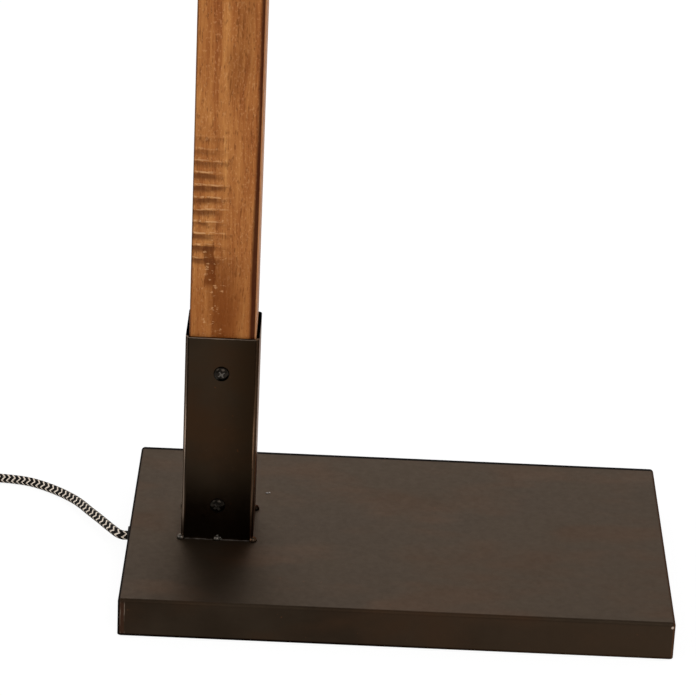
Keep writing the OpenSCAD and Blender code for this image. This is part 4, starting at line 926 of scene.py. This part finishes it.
for quarter in (0.0, math.pi / 2):
    long_box = add("ShaderNodeCombineXYZ", X=given["Slot Length"], Y=given["Slot Width"],
                   Z=times(given["Slot Depth"], 2.0))
    slot_box = add("GeometryNodeMeshCube", Size=long_box)
    lift = add("ShaderNodeCombineXYZ", Z=given["Height"])
    spin = add("ShaderNodeCombineXYZ", Z=plus(given["Spin"], quarter))
    spun = add("FunctionNodeEulerToRotation", n0=spin)
    slots.append(add("GeometryNodeTransform", Geometry=slot_box, Translation=lift, Rotation=spun))
cut_head = add("GeometryNodeMeshBoolean", {"operation": "DIFFERENCE", "solver": "EXACT"}, Mesh_1=head,
               Mesh_2=[below] + slots)
here = axes(add("GeometryNodeInputPosition"))
out = [ratio(times(here[k], 2.0), given["Head"]) for k in (0, 1)] + [ratio(here[2], given["Height"])]
out = [times(one, one) for one in out]
under = times(sums("LESS_THAN", plus(*out), recess_reach), sums("GREATER_THAN", here[2], recess_rise))
noted = add("GeometryNodeStoreNamedAttribute", {"data_type": "BOOLEAN", "domain": "FACE"}, Geometry=cut_head,
            Name="recess", Value=under)
facing = add("FunctionNodeEulerToRotation", n0=given["Turn"])
screw_set = add("GeometryNodeInstanceOnPoints", Points=given["Geometry"], Instance=noted, Rotation=facing)
serve(screw_tree, screw_set, given["Finish"], "recess", given["Recess Finish"])
screw_head = 0.0115
screw_sizes = {"Head": screw_head, "Height": 0.0034, "Slot Length": 0.0062, "Slot Width": 0.0018,
               "Slot Depth": 0.0016, "Spin": 0.6, "Turn": (math.pi / 2, 0, 0), "Finish": black_screw,
               "Recess Finish": recess_steel}


def screw_places(node, front):
    """The two screws of a node, by the heights of its box."""
    low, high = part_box(node)
    return [(socket_mid.x, front, z) for z in (low.z + screw_head / 2, high.z - screw_head / 2)]


grown("socket_front_screws", screw_tree, screw_sizes, screw_places("socket_screws", -socket_half.y), "stand",
      "screw_black", "socket_screws")


# Cord inlet: a black rubber grommet in the foot's left wall; the same braided cable runs on inside.
# Inside, the cable turns up through the post's bore to the head.
rubber = moulded("black_rubber", (0.006, 0.006, 0.006, 1), (0.014, 0.013, 0.012, 1), 0.72, 0.0008,
                 Specular_IOR_Level=0.3)
eased("cord_inlet_grommet", "cord_grommet", 0.0005, [rubber], "stand", "black_rubber")
bend, post_x, wall_x, clamp_x, cord_y, cord_z = 0.026, socket_mid.x, -0.202, -0.178, 0.008, 0.012
bend_steps, rise_steps, hidden_step, hidden_sides, no_relief = 8, 6, 0.004, 10, 0.0
inner_line = [(x, cord_y, cord_z) for x in (wall_x, clamp_x, post_x - bend)]
for step in range(1, bend_steps + 1):
    angle = math.pi / 2 * step / bend_steps
    ease = (1 + math.cos(2 * angle)) / 2
    inner_line.append((post_x - bend + bend * math.sin(angle), cord_y * ease,
                       cord_z + bend - bend * math.cos(angle)))
for step in range(1, rise_steps + 1):
    inner_line.append((post_x, 0, cord_z + bend + (post_high.z - cord_z - bend) * step / rise_steps))
riser = braided_tube("post_cable_braid", smooth_route(inner_line, hidden_step), hidden_sides, no_relief)
assigned(riser, "stand", "textile_cord", "post_cable")


# Fork: a folded steel sleeve over the post's top with two round-ended cheeks, made as the socket is.
# Two domed screws hold it, and the boom's pivot bolt passes through the cheeks.
fork_low, fork_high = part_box("head_fork")
fork_mid, fork_half = (fork_low + fork_high) / 2, (fork_high - fork_low) / 2
fork_steel = oiled_steel("fork_steel", tuple(fork_mid), tuple(fork_half), rub_reach, rub_cover)
eased("post_fork", "head_fork", 0.0004, [fork_steel, worn_edge], "stand", "foot_steel")
grown("fork_front_screws", screw_tree, screw_sizes, screw_places("fork_screws", fork_low.y), "stand",
      "screw_black", "fork_screws")
eased("boom_pivot_bolt", "pivot_bolt", 0.0004, [black_screw], "stand", "screw_black")


def flecked(name, dark, light, size, detail, rough):
    """A dull material whose colour, roughness and relief follow one fine noise."""
    made, shader, place = paint(name)
    fleck = mottle(place, size, detail=detail)
    dress(shader, tint(fleck, dark, light), graded(fleck, 0.2, rough), fleck, 0.0001)
    return made


fibre_red = flecked("red_fibre", (0.16, 0.035, 0.018, 1), (0.28, 0.075, 0.04, 1), 0.0012, 5.0, 0.6)
eased("boom_friction_washers", "friction_washers", 0.0003, [fibre_red], "stand", "red_fibre")
eased("knob_seat_washer", "knob_washer", 0.0003, [zinc], "stand", "bare_steel")
phenolic = moulded("knob_black", (0.006, 0.006, 0.006, 1), (0.013, 0.012, 0.012, 1), 0.22, 0.0012)
eased("boom_clamp_knob", "clamp_knob", 0.0012, [phenolic], "clamp_knob", "knob_black")


# Boom: a bar of the same timber, bored for the cable, that tilts on the bolt in a brass bush.
# The cable crosses from the post to the boom in a short free bend below the pivot.
boom_wood, shader, place = paint("boom_timber", IOR=1.15)
lengthwise = wire(shader.id_data, "ShaderNodeMapping", Vector=place, Location=(0.31, 0.07, 0.4),
                  Rotation=(0, math.pi / 2, 0))
coat = use(timber_grain, Along=lengthwise)
boom_low, boom_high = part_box("boom_beam")
boom_mid, boom_half = (boom_low + boom_high) / 2, (boom_high - boom_low) / 2
rub = use(edge_rub, Place=place, Middle=tuple(boom_mid), Half=tuple(boom_half), Reach=0.0022,
          Cover=0.55)["Mask"]
colour = tint(rub, coat["Colour"], (0.075, 0.018, 0.004, 1), 0.8)
dress(shader, colour, coat["Roughness"], coat["Height"], timber_relief)
eased("timber_boom", "boom_beam", 0.0006, [boom_wood], "boom", "timber", corner=50)
coated(brass, "pivot_bush", "screw_shell", "centre_contact")
pivot_z, bore_drop, cross_r, cross_run = boom_mid.z, 0.013, 0.026, 0.014
bore_z = pivot_z - bore_drop
cross_line = [(post_x, 0, post_high.z), (post_x, 0, bore_z - cross_r)]
for step in range(1, bend_steps + 1):
    angle = math.pi / 2 * step / bend_steps
    cross_line.append((post_x + cross_r * (1 - math.cos(angle)), 0, bore_z - cross_r * (1 - math.sin(angle))))
cross_end = (post_x + cross_r + cross_run, 0, bore_z)
cross_route = smooth_route(cross_line + [cross_end], chevron / chevron_steps)
crossing = braided_tube("pivot_cable_braid", cross_route, cord_sides, yarn_relief)
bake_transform(crossing)
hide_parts("pivot_cable")
swivel_x, drop_r, drop_steps, tail = 0.266, 0.014, 5, 0.007
boom_line = [cross_end, ((cross_end[0] + swivel_x) / 2, 0, bore_z), (swivel_x - drop_r, 0, bore_z)]
for step in range(1, drop_steps + 1):
    angle = math.pi / 2 * step / drop_steps
    boom_line.append((swivel_x - drop_r * (1 - math.sin(angle)), 0, bore_z - drop_r * (1 - math.cos(angle))))
boom_line.append((swivel_x, 0, boom_low.z - tail))
run_on = braided_tube("boom_cable_braid", smooth_route(boom_line, hidden_step), hidden_sides, no_relief)
assigned(run_on, "boom", "textile_cord", "boom_cable")


# Swivel: a steel flange screwed under the boom and a steel neck, disc against disc on one screw.
# The screw's head is knurled so that it can be pinched tight by hand.
head_steel = oiled_steel("head_steel")
eased("swivel_upper_half", "swivel_flange", 0.0004, [head_steel, worn_edge], "boom", "foot_steel")
flange_ring, flange_wall = 0.0155, 0.003
flange_places = [(swivel_x + flange_ring * math.cos(a), flange_ring * math.sin(a), boom_low.z - flange_wall)
                 for a in (0, math.pi / 2, 3 * math.pi / 2)]
small_sizes = {**screw_sizes, "Head": 0.008, "Height": 0.002, "Slot Length": 0.0042, "Slot Width": 0.0012,
               "Slot Depth": 0.001, "Spin": 0.3, "Turn": (math.pi, 0, 0)}
grown("flange_fixing_screws", screw_tree, small_sizes, flange_places, "boom", "screw_black", "flange_screws")
eased("swivel_thumb_screw", "swivel_screw", 0.0005, [black_screw], "swivel_screw", "screw_black")
knurl_tree, given, add = recipe("knurled_rim", {
    "Ridges": "Int", "Radius": "Float", "Ridge": "Float", "Length": "Float", "Finish": "Material"})
rim = add("GeometryNodeMeshCircle", Vertices=given["Ridges"], Radius=given["Radius"])
ridge = add("GeometryNodeMeshCylinder", Vertices=4, Radius=given["Ridge"], Depth=given["Length"])
ridge_angle = ratio(times(add("GeometryNodeInputIndex"), 2 * math.pi), given["Ridges"])
ridge_turn = add("FunctionNodeEulerToRotation", n0=add("ShaderNodeCombineXYZ", Z=ridge_angle))
rim_set = add("GeometryNodeInstanceOnPoints", Points=rim, Instance=ridge, Rotation=ridge_turn)
rim_turn = add("FunctionNodeEulerToRotation", n0=(math.pi / 2, 0, 0))
rim_base = add("GeometryNodeInstanceOnPoints", Points=given["Geometry"], Instance=rim_set, Rotation=rim_turn)
serve(knurl_tree, rim_base, given["Finish"])
thumb_low, thumb_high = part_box("swivel_screw")
knurl_y, swivel_z = -0.0161, (thumb_low.z + thumb_high.z) / 2
knurl_sizes = {"Ridges": 40, "Radius": 0.0108, "Ridge": 0.0008, "Length": 0.0066, "Finish": black_screw}
grown("swivel_thumb_knurl", knurl_tree, knurl_sizes, [(swivel_x, knurl_y, swivel_z)], "swivel_screw",
      "screw_black", smooth=20)
eased("swivel_lower_half", "swivel_neck", 0.0004, [head_steel, worn_edge], "lamp_head", "foot_steel")


# Lampholder: an oiled steel cap and shell round a glazed porcelain core with a threaded skirt.
# A turn key in its side works the switch.
eased("lampholder_dome", "lampholder_cap", 0.0004, [head_steel, worn_edge], "lamp_head", "foot_steel",
      corner=40)
eased("lampholder_sleeve", "lampholder_shell", 0.0003, [head_steel, worn_edge], "lamp_head", "foot_steel")
glaze, shader, place = paint("porcelain", Coat_Weight=0.6, Coat_Roughness=0.08, IOR=1.5)
cloud = mottle(place, 0.012)
speck = soft_step(mottle(place, 0.0009, detail=1.0), 0.74, 0.8)
colour = tint(cloud, (0.70, 0.66, 0.57, 1), (0.80, 0.77, 0.69, 1))
colour = tint(speck, colour, (0.35, 0.30, 0.22, 1), 0.5)
dress(shader, colour, graded(cloud, 0.1, 0.16), cloud, 0.0002)
eased("lampholder_porcelain", "lampholder_core", 0.0006, [glaze], "lamp_head", "porcelain")
eased("lampholder_key", "switch_key", 0.0009, [phenolic], "switch_key", "knob_black")


# Shade: a dome spun from 1 mm sheet with a rolled rim, oiled brown outside and warm white inside.
# A porcelain ring screwed up the skirt clamps its flat top against the lampholder.
def spun_form(name, profile, segments, coats, coat_of):
    """A closed profile of (radius, height) spun round the swivel's upright axis."""
    corners, faces, kinds = [], [], []
    count = len(profile)
    for i in range(segments):
        angle = 2 * math.pi * i / segments
        corners += [(swivel_x + r * math.cos(angle), r * math.sin(angle), z) for r, z in profile]
    for i in range(segments):
        j = (i + 1) % segments
        for k in range(count):
            m = (k + 1) % count
            faces.append((i * count + k, j * count + k, j * count + m, i * count + m))
            kinds.append(coat_of(k))
    mesh = bpy.data.meshes.new(name)
    mesh.from_pydata(corners, [], faces)
    mesh.polygons.foreach_set("material_index", kinds)
    with opened(mesh) as shell:
        bmesh.ops.remove_doubles(shell, verts=shell.verts, dist=same_spot)
        bmesh.ops.dissolve_degenerate(shell, edges=shell.edges, dist=same_spot)
        bmesh.ops.recalc_face_normals(shell, faces=shell.faces)
    mesh.shade_smooth()
    mesh.set_sharp_from_angle(angle=math.radians(40))
    for coat in coats:
        mesh.materials.append(coat)
    return placed(name, mesh)


shade_low, shade_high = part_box("shade")
roll_r, sheet = 0.0025, 0.001
top_r, rim_r = 0.027, (shade_high.x - shade_low.x) / 2 - roll_r + sheet / 2
top_z, drop = shade_high.z, shade_high.z - shade_low.z - roll_r
bore_r = 0.0176
profile = [(bore_r, top_z)]
steps, roll_steps, roll_start, roll_sweep = 40, 15, math.radians(35), math.radians(290)
for step in range(steps + 1):
    angle = math.pi / 2 * step / steps
    profile.append((top_r + (rim_r - top_r) * math.sin(angle), top_z - drop * (1 - math.cos(angle))))
for step in range(1, roll_steps):
    angle = roll_start - roll_sweep * step / roll_steps
    profile.append((rim_r - sheet / 2 + roll_r * math.cos(angle), top_z - drop + roll_r * math.sin(angle)))
roll_count = len(profile)
for step in range(steps, -1, -1):
    angle = math.pi / 2 * step / steps
    profile.append((top_r + (rim_r - sheet - top_r) * math.sin(angle),
                    top_z - sheet - (drop - sheet) * (1 - math.cos(angle))))
profile.append((bore_r, top_z - sheet))

shade_brown, shader, place = paint("shade_brown", Metallic=1.0, Specular_Tint=oil_edge)
level = axes(vectors("SUBTRACT", place, (swivel_x, 0, 0)))[2]
spin_scale, spin_depth = 1100.0, 1.5
spin_ring = wire(shader.id_data, "ShaderNodeTexNoise", {"noise_dimensions": "1D"}, W=level, Scale=spin_scale,
                 Detail=2.0)
coat = use(smoky_oil, Place=place, **oil)
height = plus(coat["Height"], times(spin_ring, spin_depth))
dress(shader, coat["Colour"], coat["Roughness"], height, drawn_relief)
shade_white, shader, place = paint("shade_white")
cloud, peel = mottle(place, 0.05), mottle(place, 0.0012)
colour = tint(cloud, (0.70, 0.66, 0.58, 1), (0.80, 0.77, 0.70, 1))
dress(shader, colour, graded(peel, 0.1, 0.45), peel, 0.00008)
shade_segments = 128
shade = spun_form("lamp_shade", profile, shade_segments, [shade_brown, shade_white],
                  lambda k: 1 if k >= roll_count - 1 else 0)
assigned(shade, "lamp_head", "shade_paint", "shade")
eased("shade_clamp_ring", "shade_ring", 0.0005, [glaze], "lamp_head", "porcelain")


# Bulb: a clear round-ended glass with four coated filaments on a stem, in a brass screw cap.
# The cap's thread is rolled, and the glass neck is cemented into it.
coated(brass, "bulb_cap")
thread_tree, given, add = recipe("rolled_thread", {
    "Turns": "Float", "Radius": "Float", "Height": "Float", "Bead": "Float", "Finish": "Material"})
helix = add("GeometryNodeCurveSpiral", Resolution=48, Rotations=given["Turns"], Start_Radius=given["Radius"],
            End_Radius=given["Radius"], Height=given["Height"])
bead = add("GeometryNodeCurvePrimitiveCircle", Resolution=8, Radius=given["Bead"])
wound = add("GeometryNodeCurveToMesh", Curve=helix, Profile_Curve=bead, Fill_Caps=True)
thread_base = add("GeometryNodeInstanceOnPoints", Points=given["Geometry"], Instance=wound)
serve(thread_tree, thread_base, given["Finish"])
for name, node, rise, radius, height, bead, finish, slot in (
        ("bulb_cap_thread", "bulb_cap", 0.002, 0.0126, 0.0155, 0.0008, brass, "brass"),
        ("porcelain_skirt_thread", "lampholder_core", 0.0015, 0.0172, 0.0135, 0.0009, glaze, "porcelain")):
    thread_sizes = {"Turns": 4.5, "Radius": radius, "Height": height, "Bead": bead, "Finish": finish}
    thread_start = (swivel_x, 0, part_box(node)[0].z + rise)
    grown(name, thread_tree, thread_sizes, [thread_start], "lamp_head", slot)

glass_low, glass_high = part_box("bulb_glass")
bulb_r, wall, neck_r, neck_length = (glass_high.x - glass_low.x) / 2, 0.0009, 0.0119, 0.009
neck_z, bulb_segments = glass_high.z - neck_length, 64


def bulb_line(r, neck, tip):
    """From the tip round the ball and in one sweep up to the neck."""
    join, ball_steps, sweep_steps = math.radians(50), 26, 12
    ball_z = tip + r
    line = [(0.0, tip)]
    for step in range(1, ball_steps + 1):
        angle = -math.pi / 2 + (math.pi / 2 + join) * step / ball_steps
        line.append((r * math.cos(angle), ball_z + r * math.sin(angle)))
    start_r, start_z = line[-1]
    for step in range(1, sweep_steps + 1):
        t = step / sweep_steps
        line.append((neck + (start_r - neck) * (1 - t) ** 2,
                     start_z + (neck_z - start_z) * t * (0.4 * (1 - t) + t)))
    return line + [(neck, glass_high.z)]


clear, shader, place = paint("clear_glass", Transmission_Weight=1.0, IOR=1.45)
smear = mottle(place, 0.02, detail=4.0)
dress(shader, tint(smear, (0.96, 0.97, 0.97, 1), (1, 1, 1, 1)), times(smear, 0.05), smear, 0.00005)
outside = bulb_line(bulb_r, neck_r, glass_low.z)
inside = bulb_line(bulb_r - wall, neck_r - wall, glass_low.z + wall)
glass = spun_form("bulb_envelope", outside + inside[::-1], bulb_segments, [clear], lambda k: 0)
assigned(glass, "lamp_head", "clear_glass", "bulb_glass")
phosphor = flecked("filament", (0.62, 0.40, 0.08, 1), (0.85, 0.66, 0.22, 1), 0.0006, 4.0, 0.5)
coated(phosphor, "bulb_filament")
